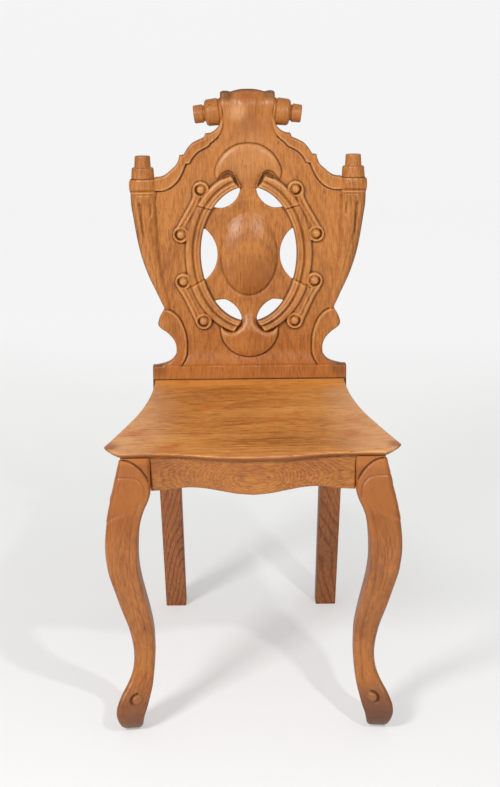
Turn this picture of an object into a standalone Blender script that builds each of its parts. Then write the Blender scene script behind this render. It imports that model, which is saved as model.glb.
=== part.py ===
"""Oak hall chair with a carved shield back, as separate joined pieces.

Metres, +Z up. The chair faces -Y, and the origin is on the floor, midway between the feet.
The back is drawn on its own board: X across, Y up the board from the seat, Z out of its face.
"""

import math

import bmesh
import bpy
from mathutils import Matrix, Vector

# Whole chair
SEAT_HEIGHT = 0.450
SEAT_THICKNESS = 0.018
SEAT_REAR = 0.133
REAR_FOOT_REACH = 0.124
BACK_RAKE_DEGREES = 4.5
JOINT_GAP = 0.0003
OVERRUN = 0.020
WELD = 0.0000002
LEAST_MITRE_SHARE = 0.4
ARC_STEP_DEGREES = 13.0
ROUND_SIDES = 16
SMALL_ROUND_SIDES = 8
ROUND_PROFILE_SHARE = 0.5

# Seat board
SEAT_HALF_WIDTH = 0.2145
SEAT_DEPTH = 0.390
SEAT_NOSE = 0.0075
SEAT_UNDERCUT = 0.007
SEAT_ROUNDING = 0.0015
SEAT_HOLLOW_SHARES = ((0.00, 1.0), (0.55, 0.9), (0.92, 0.3))
REAR_SEAM_SHARE = 0.1333
FRONT_SEAM_SHARE = 0.541
SEAT_EDGE_SHARES = (
    (0.373, 0.974, 0.032),
    (0.606, 0.952, -0.030),
    (0.888, 0.951, -0.015),
    (1.000, 0.864, 0.080),
    (0.822, 0.501, -0.005),
    (0.727, 0.000, -0.027),
)

# Back board
BACK_HALF_WIDTH = 0.192
BACK_HEIGHT = 0.4726
BOARD_THICKNESS = 0.024
GROUND_DEPTH = 0.005
BACK_SEAM = 0.060
FOOT_BAND_HALF_WIDTH = 0.1605
FOOT_BAND_HEIGHT = 0.0225
WAIST_START = 0.150
HORN_OVERHANG = 0.002
WAIST_AND_HORN_SHARES = (
    (0.760, 0.179, -0.435),
    (0.725, 0.2525, 0.160),
    (0.979, 0.640, 0.056),
    (0.979, 0.692, 0.000),
    (0.781, 0.692, 0.000),
)
SHOULDER_SWEEP_SHARES = (0.786, 0.703, 0.578, 0.770, -0.140)
SHOULDER_BROW_SHARES = (0.5495, 0.773, 0.367, 0.841, 0.120)
NECK_SWEEP_SHARES = (0.344, 0.848, 0.247, 0.885, -0.140)
NECK_TOP_SHARES = (0.229, 0.968)
STRIP_WIDTH = 0.0115
EAR_LINE_SHARES = (
    (0.576, 0.0477, 0.000),
    (0.5375, 0.109, -0.020),
    (0.550, 0.176, -0.050),
    (0.7135, 0.247, -0.100),
)

# Horns, with the turned-looking bands over them
HORN_HALF_WIDTH = 0.0200
HORN_HALF_DEPTH = 0.0150
HORN_AXIS_DEPTH = 0.008
HORN_TOP_SHARE = 0.665
HORN_TIP_SHARE = 0.22
HORN_STEPS = 8
HORN_FLUTE_RADIUS = 0.0025
BAND_HALF_WIDTH = 0.0215
BAND_HALF_DEPTH = 0.0175
BAND_HEIGHT = 0.028
BAND_TOP_SHARE = 0.70038
BAND_PROFILE_SHARES = (
    (0.93, 1.00),
    (0.99, 0.90),
    (1.00, 0.68),
    (0.98, 0.46),
    (0.93, 0.37),
    (0.88, 0.33),
    (0.94, 0.27),
    (0.95, 0.19),
    (0.87, 0.13),
    (0.80, 0.00),
)

# Turned shoulder posts
POST_ACROSS = 0.1703
POST_BASE_TOP_RADIUS = 0.0176
POST_BASE_FOOT_RADIUS = 0.0188
POST_BASE_HEIGHT = 0.0182
POST_CAP_TOP_RADIUS = 0.0121
POST_CAP_FOOT_RADIUS = 0.0132
POST_CAP_HEIGHT = 0.0190
POST_TENON_RADIUS = 0.005
POST_TENON_LENGTH = 0.030
TURNED_ROUNDING = 0.0012

# Crest: a rolled top between two turned rolls
CREST_RADIUS = 0.0266
CREST_AXIS_DEPTH = 0.020
CREST_HALF_WIDTH = 0.044
CREST_PROFILE_SHARES = (
    (1.000, 0.00),
    (0.980, 0.30),
    (0.915, 0.52),
    (0.820, 0.64),
    (0.760, 0.70),
    (0.850, 0.76),
    (0.885, 0.84),
    (0.870, 0.92),
    (0.800, 1.00),
)
NECK_SWELL_HALF_WIDTH = 0.030
NECK_SWELL_HEIGHT = 0.006
NECK_SWELL_LENGTH = 0.090
NECK_SWELL_SINK = 0.0015
NECK_SWELL_WIDTH_SHARES = (1.0, 1.1, 0.5)
ROLL_TILT_DEGREES = 6.7
ROLL_DROP = 0.0085
ROLL_AXIS_DEPTH = 0.016
ROLL_COLLAR_RADIUS = 0.0210
ROLL_COLLAR_LENGTH = 0.008
ROLL_BODY_RADIUS = 0.0200
ROLL_BODY_LENGTH = 0.014
ROLL_STEP_RADIUS = 0.0180
ROLL_STEP_LENGTH = 0.003
ROLL_END_RADIUS = 0.0138
ROLL_END_LENGTH = 0.0175
ROLL_GROOVE = 0.0012
ROLL_TENON_RADIUS = 0.006
ROLL_TENON_LENGTH = 0.026

# Oval ring with its pierced plate
RING_RISE_SHARE = 0.44224
RING_INNER_HALF_WIDTH = 0.0787
RING_INNER_HEIGHT_SHARE = 0.23
RING_WIDTH = 0.0249
RING_RELIEF = 0.005
RING_ROOT = 0.006
RING_STEPS = 40
RING_CAP_STEPS = 5
RING_CAP_RISE = 0.0022
RING_CAP_WIDENING_SHARE = 1.07
RING_CAP_FROM_DEGREES = 46.0
RING_CAP_TO_DEGREES = 68.0
RING_PROFILE_SHARES = (
    (-1.00, -1.0),
    (-1.00, 0.25),
    (-0.75, 0.95),
    (-0.25, 0.95),
    (0.00, 0.45),
    (0.25, 0.95),
    (0.75, 0.95),
    (1.00, 0.25),
    (1.00, -1.0),
)
OPENING_TRIM = 0.0008
SIDE_OPENING_CENTRE = 0.1048
SIDE_OPENING_RADIUS = 0.0538
UPPER_OPENING_SHARES = (
    (0.900, 1.200, 0.000),
    (0.171, 1.200, 0.000),
    (0.171, 0.938, 0.000),
    (0.534, 0.681, 0.150),
    (0.740, 0.695, 0.030),
)
LOWER_OPENING_SHARES = (
    (0.900, -1.200, 0.000),
    (0.728, -0.716, 0.000),
    (0.498, -0.695, 0.030),
    (0.161, -0.963, 0.120),
    (0.161, -1.200, 0.000),
)
DOME_HALF_WIDTH = 0.0428
DOME_HEIGHT_SHARE = 0.621
DOME_RELIEF = 0.0125
DOME_DROP = 0.0012
DOME_TILT_DEGREES = 1.5
DOME_SINK = 0.0006

# Crescents over and under the ring
CRESCENT_RISE_SHARE = 0.70461
CRESCENT_RADIUS = 0.052
CRESCENT_SHARES = (
    (0.260, -0.440, 0.000),
    (0.260, -0.210, 0.000),
    (0.385, 0.000, -0.080),
    (0.960, -0.060, -0.330),
    (1.000, -0.020, 0.000),
    (0.000, 1.000, 0.210),
)
PELTA_RISE_SHARE = 0.179
PELTA_RADIUS = 0.0474
PELTA_SHARES = (
    (1.000, 0.050, 0.215),
    (0.950, 0.090, 0.000),
    (0.400, -0.020, -0.260),
    (0.230, 0.250, -0.080),
    (0.230, 0.560, 0.000),
)
CRESCENT_RELIEF = 0.008
CRESCENT_ROUNDING = 0.003

# Scroll brackets round the ring, two eyes to each
UPPER_BRACKET_EYE_SHARES = ((0.399, 0.6627), (0.5734, 0.5095))
LOWER_BRACKET_EYE_SHARES = ((0.560, 0.3464), (0.389, 0.2065))
BRACKET_WIDTH = 0.015
BRACKET_BULGE_SHARE = 0.06
BRACKET_RELIEF = 0.0038
BRACKET_ROUNDING = 0.0015
SCROLL_RADIUS = 0.0135
SCROLL_RELIEF = 0.0048
EYE_RADIUS = 0.0075
EYE_RELIEF = 0.0078
SCROLL_DROP = 0.00002

# Frame under the seat
FRAME_DROP = 0.045
FRONT_SETBACK = 0.009
RAIL_THICKNESS = 0.020
FRONT_RAIL_EDGE_SHARES = ((0.33, 0.900, -0.030), (0.65, 0.860, -0.030), (1.0, 0.980, -0.030))
LEG_SIZE = 0.042
LEG_SIDE_INSET = 0.0245
FRONT_LEG_INSET = 0.027
SIDE_RAIL_INSET = 0.012
SIDE_RAIL_REAR_OUTER = 0.150
REAR_RAIL_FRONT = 0.126
REAR_RAIL_THICKNESS = 0.030
TENON_THICKNESS = 0.008
TENON_MARGIN = 0.008
FRONT_TENON_LENGTH = 0.014
SIDE_TENON_LENGTH = 0.016
REAR_TENON_LENGTH = 0.012
BLOCK_REACH = 0.045
BLOCK_HEIGHT = 0.035
BLOCK_TIP = 0.006

# Front legs, sawn from square stock on both faces: share of the height, swing outwards
LEG_SWING = 0.025
LEG_ROUNDING = 0.0045
LEG_OUTER_SHARES = (
    (1.000, 0.06),
    (0.961, 0.24),
    (0.896, 0.53),
    (0.833, 0.82),
    (0.764, 0.98),
    (0.725, 1.004),
    (0.671, 0.95),
    (0.616, 0.81),
    (0.532, 0.43),
    (0.447, 0.03),
    (0.361, -0.32),
    (0.282, -0.436),
    (0.231, -0.32),
    (0.197, -0.08),
    (0.162, 0.27),
    (0.130, 0.58),
    (0.106, 0.66),
    (0.081, 0.62),
    (0.055, 0.49),
    (0.028, 0.33),
    (0.000, 0.14),
)
LEG_INNER_SHARES = (
    (1.000, 0.00),
    (0.894, 0.00),
    (0.870, 0.10),
    (0.822, 0.46),
    (0.789, 0.62),
    (0.757, 0.78),
    (0.722, 0.868),
    (0.685, 0.904),
    (0.648, 0.892),
    (0.611, 0.836),
    (0.530, 0.592),
    (0.447, 0.312),
    (0.363, 0.112),
    (0.287, 0.064),
    (0.211, 0.144),
    (0.139, 0.372),
    (0.104, 0.536),
    (0.072, 0.732),
    (0.037, 0.864),
    (0.018, 0.98),
    (0.000, 1.16),
)
LEG_RECESS_SHARES = (
    (1.000, 0.00),
    (0.260, 0.00),
    (0.200, 0.12),
    (0.162, 0.30),
    (0.123, 0.46),
    (0.080, 0.42),
    (0.040, 0.30),
    (0.000, 0.22),
)
LEG_STEPS = 26
LEG_CORNER_TURNS = (15, 75)

# Rear legs, sawn with a sweep backwards
REAR_LEG_OUTER_TOP = 0.1595
REAR_LEG_OUTER_FOOT = 0.1520
REAR_LEG_INNER_TOP = 0.1215
REAR_LEG_INNER_FOOT = 0.1155
REAR_LEG_TOP_DEPTH = 0.056
REAR_LEG_FOOT_DEPTH = 0.036
REAR_LEG_STUMP = 0.035
REAR_LEG_CROWN_SLOPE_SHARE = 0.36
REAR_LEG_EDGE = 0.002
REAR_LEG_SWEEP_SHARE = 1.12
REAR_LEG_STEPS = 9

# Dowels and screws
DOWEL_RADIUS = 0.004
DOWEL_LENGTH = 0.036
DOWEL_PLAY = 0.0003
BACK_DOWEL_RISE_SHARES = (0.021, 0.131, 0.698, 0.787)
BACK_DOWEL_DEPTH = 0.0145
FOOT_DOWEL_SPACING = 0.085
FOOT_DOWEL_DEPTH = 0.012
SEAT_DOWEL_SPACING_SHARE = 0.513
SEAT_DOWEL_RADIUS = 0.003
SCREW_HEAD_RADIUS = 0.0042
SCREW_HEAD_HEIGHT = 0.0030
SCREW_SHANK_RADIUS = 0.0020
SCREW_TIP_SHARE = 0.4
SCREW_TIP_LENGTH = 0.004
SCREW_HEAD_CROWN_SHARE = 0.9
SEAT_SCREW_LENGTH = 0.046
SEAT_SCREW_FRONT_OFFSETS = (0.009, 0.006)
SEAT_SCREW_REAR_OFFSETS = (0.011, 0.015)
BACK_SCREW_LENGTH = 0.046
BACK_SCREW_SPACING = 0.011
BACK_SCREW_DROP = 0.009

OAK_SEAT = ("oak_seat", (0.50, 0.19, 0.045), 0.42)
OAK_BACK = ("oak_back", (0.46, 0.18, 0.055), 0.45)
OAK_FRAME = ("oak_frame", (0.44, 0.17, 0.048), 0.45)
OAK_LEGS = ("oak_legs", (0.42, 0.155, 0.045), 0.45)
OAK_REAR_LEGS = ("oak_rear_legs", (0.30, 0.11, 0.045), 0.50)
BARE_WOOD = ("bare_wood", (0.52, 0.33, 0.16), 0.65)
SCREW_STEEL = ("screw_steel", (0.32, 0.31, 0.29), 0.40)

APRON_TOP = SEAT_HEIGHT - SEAT_THICKNESS
FRAME_BOTTOM = APRON_TOP - FRAME_DROP
REAR_SEAM = SEAT_REAR - REAR_SEAM_SHARE * SEAT_DEPTH
FRONT_SEAM = SEAT_REAR - FRONT_SEAM_SHARE * SEAT_DEPTH
FRONT_LEG_FACE = SEAT_REAR - SEAT_DEPTH + FRONT_LEG_INSET
LEG_OUTER = SEAT_HALF_WIDTH - LEG_SIDE_INSET
LEG_INNER = LEG_OUTER - LEG_SIZE
SIDE_RAIL_FRONT_OUTER = LEG_OUTER - SIDE_RAIL_INSET
SEAT_DOWEL_SPACING = SEAT_DOWEL_SPACING_SHARE * SEAT_HALF_WIDTH
BAND_TOP = BAND_TOP_SHARE * BACK_HEIGHT
BAND_BOTTOM = BAND_TOP - BAND_HEIGHT
ROLL_RISE = BACK_HEIGHT - CREST_RADIUS - ROLL_DROP
RING_RISE = RING_RISE_SHARE * BACK_HEIGHT
RING_INNER_HALF_HEIGHT = RING_INNER_HEIGHT_SHARE * BACK_HEIGHT
DOME_RISE = RING_RISE - DOME_DROP
DOME_HALF_HEIGHT = DOME_HEIGHT_SHARE * RING_INNER_HALF_HEIGHT
CRESCENT_RISE = CRESCENT_RISE_SHARE * BACK_HEIGHT
PELTA_RISE = PELTA_RISE_SHARE * BACK_HEIGHT
BOARD_BACK = -BOARD_THICKNESS
GROUND = -GROUND_DEPTH


# Scene, collections and finishes

def clear_scene():
    """Removes every object and makes the two collections."""
    for old in list(bpy.data.objects):
        bpy.data.objects.remove(old)
    parts = bpy.data.collections.new("hall_chair")
    cutters = bpy.data.collections.new("cutters")
    cutters.hide_render = True
    for group in (parts, cutters):
        bpy.context.scene.collection.children.link(group)
    return parts, cutters


PARTS, CUTTERS = clear_scene()


def finish_of(name, colour, roughness):
    """Material of one finish, made once."""
    found = bpy.data.materials.get(name)
    if found:
        return found
    made = bpy.data.materials.new(name)
    made.use_nodes = True
    shader = made.node_tree.nodes["Principled BSDF"]
    shader.inputs["Base Color"].default_value = (*colour, 1)
    shader.inputs["Roughness"].default_value = roughness
    shader.inputs["Metallic"].default_value = 1 if name == SCREW_STEEL[0] else 0
    return made


def keep(piece, name, finish, parent=None):
    """Puts a finished piece in the chair's collection under its name."""
    piece.name = name
    piece.data.name = name
    piece.data.materials.clear()
    piece.data.materials.append(finish_of(*finish))
    for group in list(piece.users_collection):
        group.objects.unlink(piece)
    PARTS.objects.link(piece)
    piece.hide_render = False
    piece.display_type = "TEXTURED"
    if parent:
        piece.parent = parent
    piece.data.shade_smooth()
    piece.data.set_sharp_from_angle(angle=math.radians(32))
    return piece


def helper(name, data, matrix=None):
    """New object among the cutters, drawn as wire and left out of the chair."""
    piece = bpy.data.objects.new(name, data)
    piece.hide_render = True
    piece.display_type = "WIRE"
    CUTTERS.objects.link(piece)
    if matrix:
        piece.matrix_world = matrix
    return piece


def meshed(piece, turn_faces_out=True):
    """Mesh object with the shape that the piece's modifiers give, in place of the piece."""
    bpy.context.view_layer.update()
    graph = bpy.context.evaluated_depsgraph_get()
    mesh = bpy.data.meshes.new_from_object(piece.evaluated_get(graph))
    shape = bmesh.new()
    shape.from_mesh(mesh)
    bmesh.ops.remove_doubles(shape, verts=shape.verts, dist=WELD)
    if turn_faces_out:
        bmesh.ops.recalc_face_normals(shape, faces=shape.faces)
    shape.to_mesh(mesh)
    shape.free()
    name = piece.name
    place = piece.matrix_world.copy()
    bpy.data.objects.remove(piece)
    return helper(name, mesh, place)


def combine(target, operation, others):
    """Joins, cuts or crosses the target with each of the others, and returns its mesh."""
    for other in others:
        step = target.modifiers.new(other.name, "BOOLEAN")
        step.operation = operation
        step.solver = "EXACT"
        step.object = other
        target = meshed(target, turn_faces_out=False)
    return target


# Outlines

def arc(start, end, bulge_share, least_steps=2):
    """Points after start up to end, on the arc that rises by a share of its chord to the right."""
    start, end = Vector(start), Vector(end)
    if not bulge_share:
        return [end]
    chord = end - start
    right = Vector((chord.y, -chord.x)).normalized()
    rise = bulge_share * chord.length
    radius = (chord.length ** 2 / 4 + rise ** 2) / (2 * rise)
    centre = (start + end) / 2 + right * (rise - radius)
    sweep = 4 * math.atan(2 * bulge_share)
    steps = max(least_steps, math.ceil(abs(sweep) / math.radians(ARC_STEP_DEGREES)))
    turns = [Matrix.Rotation(sweep * step / steps, 2) for step in range(1, steps + 1)]
    return [centre + turn @ (start - centre) for turn in turns]


def path_of(start, rows, across, along, origin=(0, 0)):
    """Path through rows of shares: across, along and the bulge of the arc that leads there."""
    points = [Vector(start)] if start is not None else []
    for across_share, along_share, bulge_share in rows:
        corner = Vector((origin[0] + across_share * across, origin[1] + along_share * along))
        points += arc(points[-1], corner, bulge_share) if points else [corner]
    return points


def whole(half):
    """Closed outline from a half that starts and ends on the centre line, with no idle points."""
    left = [Vector((-point.x, point.y)) for point in reversed(half) if point.x > WELD]
    loop = half + left
    outline = []
    for number, point in enumerate(loop):
        before = point - loop[number - 1]
        after = loop[(number + 1) % len(loop)] - point
        if abs(before.cross(after)) > WELD * before.length:
            outline.append(point)
    return outline


def offset_path(points, distance):
    """Path moved to its left by the distance."""
    moved = []
    for number, point in enumerate(points):
        before = points[max(number - 1, 0)]
        after = points[min(number + 1, len(points) - 1)]
        along = (after - before).normalized()
        moved.append(point + Vector((-along.y, along.x)) * distance)
    return moved


def drawn_in(outline, distance):
    """Closed outline moved inwards by the distance."""
    drawn = []
    for number, point in enumerate(outline):
        before = (point - outline[number - 1]).normalized()
        after = (outline[(number + 1) % len(outline)] - point).normalized()
        inward = Vector((-before.y - after.y, before.x + after.x))
        mitre = max(1 + before.dot(after), LEAST_MITRE_SHARE)
        drawn.append(point + inward * distance / mitre)
    return drawn


def ellipse(half_width, half_height, centre, steps, start_degrees=0, sweep_degrees=360):
    """Points on an ellipse; a full turn leaves out its last point."""
    count = steps if sweep_degrees == 360 else steps + 1
    points = []
    for step in range(count):
        angle = math.radians(start_degrees + sweep_degrees * step / steps)
        across = centre[0] + half_width * math.cos(angle)
        points.append(Vector((across, centre[1] + half_height * math.sin(angle))))
    return points


def smooth_value(rows, at):
    """Value at a place in a falling table of places and values, by a curve through its points."""
    for number in range(len(rows) - 1):
        high, low = rows[number], rows[number + 1]
        if high[0] >= at >= low[0]:
            above = rows[max(number - 1, 0)]
            below = rows[min(number + 2, len(rows) - 1)]
            part = (high[0] - at) / (high[0] - low[0])
            step = high[0] - low[0]
            slope_high = (low[1] - above[1]) / (above[0] - low[0]) * step if above[0] > low[0] else 0
            slope_low = (below[1] - high[1]) / (high[0] - below[0]) * step if high[0] > below[0] else 0
            blend = 3 * part ** 2 - 2 * part ** 3
            bend_high = part ** 3 - 2 * part ** 2 + part
            bend_low = part ** 3 - part ** 2
            return high[1] * (1 - blend) + low[1] * blend + slope_high * bend_high + slope_low * bend_low
    return rows[-1][1]


# Solids

def prism(name, outline, low, high, rounding=0, place=None):
    """Flat outline made as thick as from low to high, with its upper edge rounded."""
    curve = bpy.data.curves.new(name, "CURVE")
    curve.dimensions = "2D"
    curve.fill_mode = "BOTH"
    curve.extrude = (high - low) / 2
    spline = curve.splines.new("POLY")
    spline.points.add(len(outline) - 1)
    for point, corner in zip(spline.points, outline):
        point.co = (corner[0], corner[1], 0, 1)
    spline.use_cyclic_u = True
    middle = Matrix.Translation((0, 0, (low + high) / 2))
    piece = meshed(helper(name, curve, (place or Matrix()) @ middle))
    if rounding:
        round_top(piece.data, (high - low) / 2, rounding)
    return piece


def round_top(mesh, top, rounding):
    """Rounds the edges round a prism's upper face."""
    shape = bmesh.new()
    shape.from_mesh(mesh)
    bmesh.ops.dissolve_limit(shape, angle_limit=math.radians(1), verts=shape.verts, edges=shape.edges)
    rim = []
    for edge in shape.edges:
        if all(abs(vert.co.z - top) < WELD for vert in edge.verts):
            rim.append(edge)
    bmesh.ops.bevel(
        shape, geom=rim, offset=rounding, segments=2, profile=ROUND_PROFILE_SHARE, affect="EDGES", clamp_overlap=True
    )
    shape.to_mesh(mesh)
    shape.free()


def box(name, low, high, place=None):
    """Box between two corners."""
    low, high = Vector(low), Vector(high)
    shape = bmesh.new()
    bmesh.ops.create_cube(shape, size=1)
    bmesh.ops.scale(shape, vec=high - low, verts=shape.verts)
    bmesh.ops.translate(shape, vec=(low + high) / 2, verts=shape.verts)
    mesh = bpy.data.meshes.new(name)
    shape.to_mesh(mesh)
    shape.free()
    return helper(name, mesh, place)


def rod(name, radius, start, end, sides=SMALL_ROUND_SIDES, place=None):
    """Round rod between two points."""
    start, end = Vector(start), Vector(end)
    shape = bmesh.new()
    bmesh.ops.create_cone(
        shape, cap_ends=True, segments=sides, radius1=radius, radius2=radius, depth=(end - start).length
    )
    turn = Vector((0, 0, 1)).rotation_difference(end - start).to_matrix().to_4x4()
    bmesh.ops.transform(shape, matrix=Matrix.Translation((start + end) / 2) @ turn, verts=shape.verts)
    mesh = bpy.data.meshes.new(name)
    shape.to_mesh(mesh)
    shape.free()
    return helper(name, mesh, place)


def turned(name, profile, place=None, sides=ROUND_SIDES, depth_share=1):
    """Turned shape: a profile of radii and heights, top first, swept about Z and flattened in Y."""
    mesh = bpy.data.meshes.new(name)
    corners = [(radius, 0, height) for radius, height in profile]
    mesh.from_pydata(corners, [(number, number + 1) for number in range(len(corners) - 1)], [])
    piece = helper(name, mesh)
    screw = piece.modifiers.new("turning", "SCREW")
    screw.steps = sides
    screw.render_steps = sides
    screw.use_merge_vertices = True
    screw.merge_threshold = WELD
    piece = meshed(piece)
    piece.data.transform(Matrix.Diagonal((1, depth_share, 1, 1)))
    piece.matrix_world = place or Matrix()
    return piece


def swept(name, path, profile, cyclic):
    """Closed profile carried along a flat path."""
    section = bpy.data.curves.new(name + "_section", "CURVE")
    section.dimensions = "2D"
    line = section.splines.new("POLY")
    line.points.add(len(profile) - 1)
    for point, corner in zip(line.points, profile):
        point.co = (corner[0], corner[1], 0, 1)
    line.use_cyclic_u = True
    section_object = helper(name + "_section", section)
    curve = bpy.data.curves.new(name, "CURVE")
    curve.dimensions = "2D"
    curve.bevel_mode = "OBJECT"
    curve.bevel_object = section_object
    curve.use_fill_caps = not cyclic
    spline = curve.splines.new("POLY")
    spline.points.add(len(path) - 1)
    for point, corner in zip(spline.points, path):
        point.co = (corner[0], corner[1], 0, 1)
    spline.use_cyclic_u = cyclic
    piece = meshed(helper(name, curve))
    bpy.data.objects.remove(section_object)
    return piece


def tube(name, path, radii, depth_share=1, depth=0, sides=4):
    """Round tube along a path, with a radius at each point, flattened across its depth."""
    curve = bpy.data.curves.new(name, "CURVE")
    curve.dimensions = "3D"
    curve.bevel_depth = max(radii)
    curve.bevel_resolution = sides
    curve.use_fill_caps = True
    spline = curve.splines.new("POLY")
    spline.points.add(len(path) - 1)
    for point, corner, radius in zip(spline.points, path, radii):
        point.co = (corner[0], corner[1], 0, 1)
        point.radius = radius / max(radii)
    piece = meshed(helper(name, curve))
    piece.data.transform(Matrix.Translation((0, 0, depth)) @ Matrix.Diagonal((1, 1, depth_share, 1)))
    return piece


def lofted(name, rings):
    """Closed solid through a stack of rings with like numbers of points, lowest ring first."""
    shape = bmesh.new()
    rows = [[shape.verts.new(corner) for corner in ring] for ring in rings]
    for low, high in zip(rows, rows[1:]):
        for number in range(len(low)):
            after = (number + 1) % len(low)
            shape.faces.new((low[number], low[after], high[after], high[number]))
    shape.faces.new(list(reversed(rows[0])))
    shape.faces.new(rows[-1])
    bmesh.ops.triangulate(shape, faces=[face for face in shape.faces if len(face.verts) > 4])
    bmesh.ops.recalc_face_normals(shape, faces=shape.faces)
    mesh = bpy.data.meshes.new(name)
    shape.to_mesh(mesh)
    shape.free()
    return helper(name, mesh)


def copy_of(piece, name):
    """Second object with its own copy of the mesh."""
    return helper(name, piece.data.copy(), piece.matrix_world.copy())


def mirrored(piece, name):
    """Copy on the other side of the chair's middle plane, with its faces turned the right way."""
    twin = copy_of(piece, name)
    twin.data.transform(Matrix.Diagonal((-1, 1, 1, 1)) @ twin.matrix_world)
    twin.matrix_world = Matrix()
    twin.data.flip_normals()
    return twin


# Back board

def share_point(across_share, up_share):
    """Point of the back from its shares."""
    return Vector((across_share * BACK_HALF_WIDTH, up_share * BACK_HEIGHT))


def edge_runs():
    """The three swept runs of the back's upper edge, lowest first."""
    runs = []
    for low_across, low_up, high_across, high_up, bulge_share in (
        SHOULDER_SWEEP_SHARES,
        SHOULDER_BROW_SHARES,
        NECK_SWEEP_SHARES,
    ):
        start = share_point(low_across, low_up)
        runs.append([start] + arc(start, share_point(high_across, high_up), bulge_share))
    neck_foot = runs[-1][-1]
    runs.append([neck_foot, share_point(*NECK_TOP_SHARES)])
    return runs


def back_outline():
    """Outline of the whole back without its rolled crest."""
    low = -SEAT_THICKNESS - OVERRUN
    half = [Vector((0, low)), Vector((FOOT_BAND_HALF_WIDTH, low))]
    half.append(Vector((FOOT_BAND_HALF_WIDTH, FOOT_BAND_HEIGHT)))
    half += path_of((WAIST_START, FOOT_BAND_HEIGHT), WAIST_AND_HORN_SHARES, BACK_HALF_WIDTH, BACK_HEIGHT)
    for run in edge_runs():
        half += [point for point in run if (point - half[-1]).length > WELD]
    half.append(Vector((0, half[-1].y)))
    return whole(half)


def pocket_outline():
    """Outline of the sunk ground inside the strip, the horns, the ears and the foot band."""
    half = [Vector((0, FOOT_BAND_HEIGHT))]
    half += path_of(None, EAR_LINE_SHARES, BACK_HALF_WIDTH, BACK_HEIGHT)
    half += offset_path(horn_axis(), -HORN_OVERHANG)[1:]
    for run in edge_runs():
        half += offset_path(run, STRIP_WIDTH)
    half.append(half[-1] + Vector((0, OVERRUN)))
    half.append(Vector((0, half[-1].y)))
    return whole(half)


def side_edge():
    """The horn's outer edge, from the ear up to the band."""
    ear, top = WAIST_AND_HORN_SHARES[1], WAIST_AND_HORN_SHARES[2]
    start = share_point(*ear[:2])
    return [start] + arc(start, share_point(*top[:2]), top[2], HORN_STEPS)


def horn_axis():
    """Middle line of the right horn, from its foot to its top, with the edge as a guide."""
    edge = side_edge()
    radii = horn_radii(len(edge))
    axis = []
    for number, point in enumerate(edge):
        before, after = edge[max(number - 1, 0)], edge[min(number + 1, len(edge) - 1)]
        along = (after - before).normalized()
        inward = Vector((-along.y, along.x))
        axis.append(point + inward * (radii[number] - HORN_OVERHANG))
    axis.append(Vector((POST_ACROSS, HORN_TOP_SHARE * BACK_HEIGHT)))
    return axis


def horn_radii(count):
    """Half-widths of a horn from its foot to its top."""
    radii = []
    for number in range(count):
        part = number / (count - 1)
        swell = HORN_TIP_SHARE + (1 - HORN_TIP_SHARE) * math.sin(math.pi / 2 * part)
        radii.append(HORN_HALF_WIDTH * swell)
    return radii


def horn(side):
    """Rolled edge of the shield on one side."""
    axis = horn_axis()
    radii = horn_radii(len(axis) - 1)
    radii.append(radii[-1])
    path = [(side * point.x, point.y) for point in axis]
    return tube("horn", path, radii, HORN_HALF_DEPTH / HORN_HALF_WIDTH, -HORN_AXIS_DEPTH, 5)


def horn_flute(side):
    """Cutter for the flute that runs down the horn's face."""
    axis = horn_axis()[1:-1]
    path = [(side * point.x, point.y) for point in reversed(axis)]
    radii = [HORN_FLUTE_RADIUS * (1 - number / len(path)) + WELD for number in range(len(path))]
    crest = HORN_HALF_DEPTH - HORN_AXIS_DEPTH
    flute = tube("flute", path, radii, 1, 0, 2)
    lift = HORN_HALF_DEPTH / HORN_HALF_WIDTH
    for vert in flute.data.vertices:
        nearest = min(range(len(path)), key=lambda number: abs(path[number][1] - vert.co.y))
        half_width = horn_radii(len(path) + 1)[len(path) - nearest]
        vert.co.z += min(half_width * lift - HORN_AXIS_DEPTH, crest)
    return flute


def band(side):
    """Banded head of a horn, under its post, a little flattened."""
    height = BAND_TOP - BAND_BOTTOM
    profile = [(0, height)]
    profile += [(width * BAND_HALF_WIDTH, rise * height) for width, rise in BAND_PROFILE_SHARES]
    profile.append((0, 0))
    place = Matrix.Translation((side * POST_ACROSS, BAND_BOTTOM, -HORN_AXIS_DEPTH))
    upright = Matrix.Rotation(math.radians(-90), 4, "X")
    return turned("band", profile, place @ upright, depth_share=BAND_HALF_DEPTH / BAND_HALF_WIDTH)


def ring():
    """Oval moulding of two rounded bands, with its four caps a little proud."""
    half = RING_WIDTH / 2
    profile = []
    for across_share, rise_share in RING_PROFILE_SHARES:
        height = rise_share * RING_RELIEF if rise_share > 0 else rise_share * RING_ROOT
        profile.append((across_share * half, GROUND + height))
    middle_width = RING_INNER_HALF_WIDTH + half
    middle_height = RING_INNER_HALF_HEIGHT + half
    centre = (0, RING_RISE)
    path = ellipse(middle_width, middle_height, centre, RING_STEPS)
    base = swept("ring", path, profile, True)
    wider = [(across * RING_CAP_WIDENING_SHARE, height + RING_CAP_RISE) for across, height in profile]
    sweep = RING_CAP_TO_DEGREES - RING_CAP_FROM_DEGREES
    caps = []
    right_caps = (RING_CAP_FROM_DEGREES, -RING_CAP_TO_DEGREES)
    left_caps = (180 - RING_CAP_TO_DEGREES, 180 + RING_CAP_FROM_DEGREES)
    for start in right_caps + left_caps:
        part = ellipse(middle_width, middle_height, centre, RING_CAP_STEPS, start, sweep)
        caps.append(swept("ring_cap", part, wider, False))
    return [base] + caps


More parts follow.
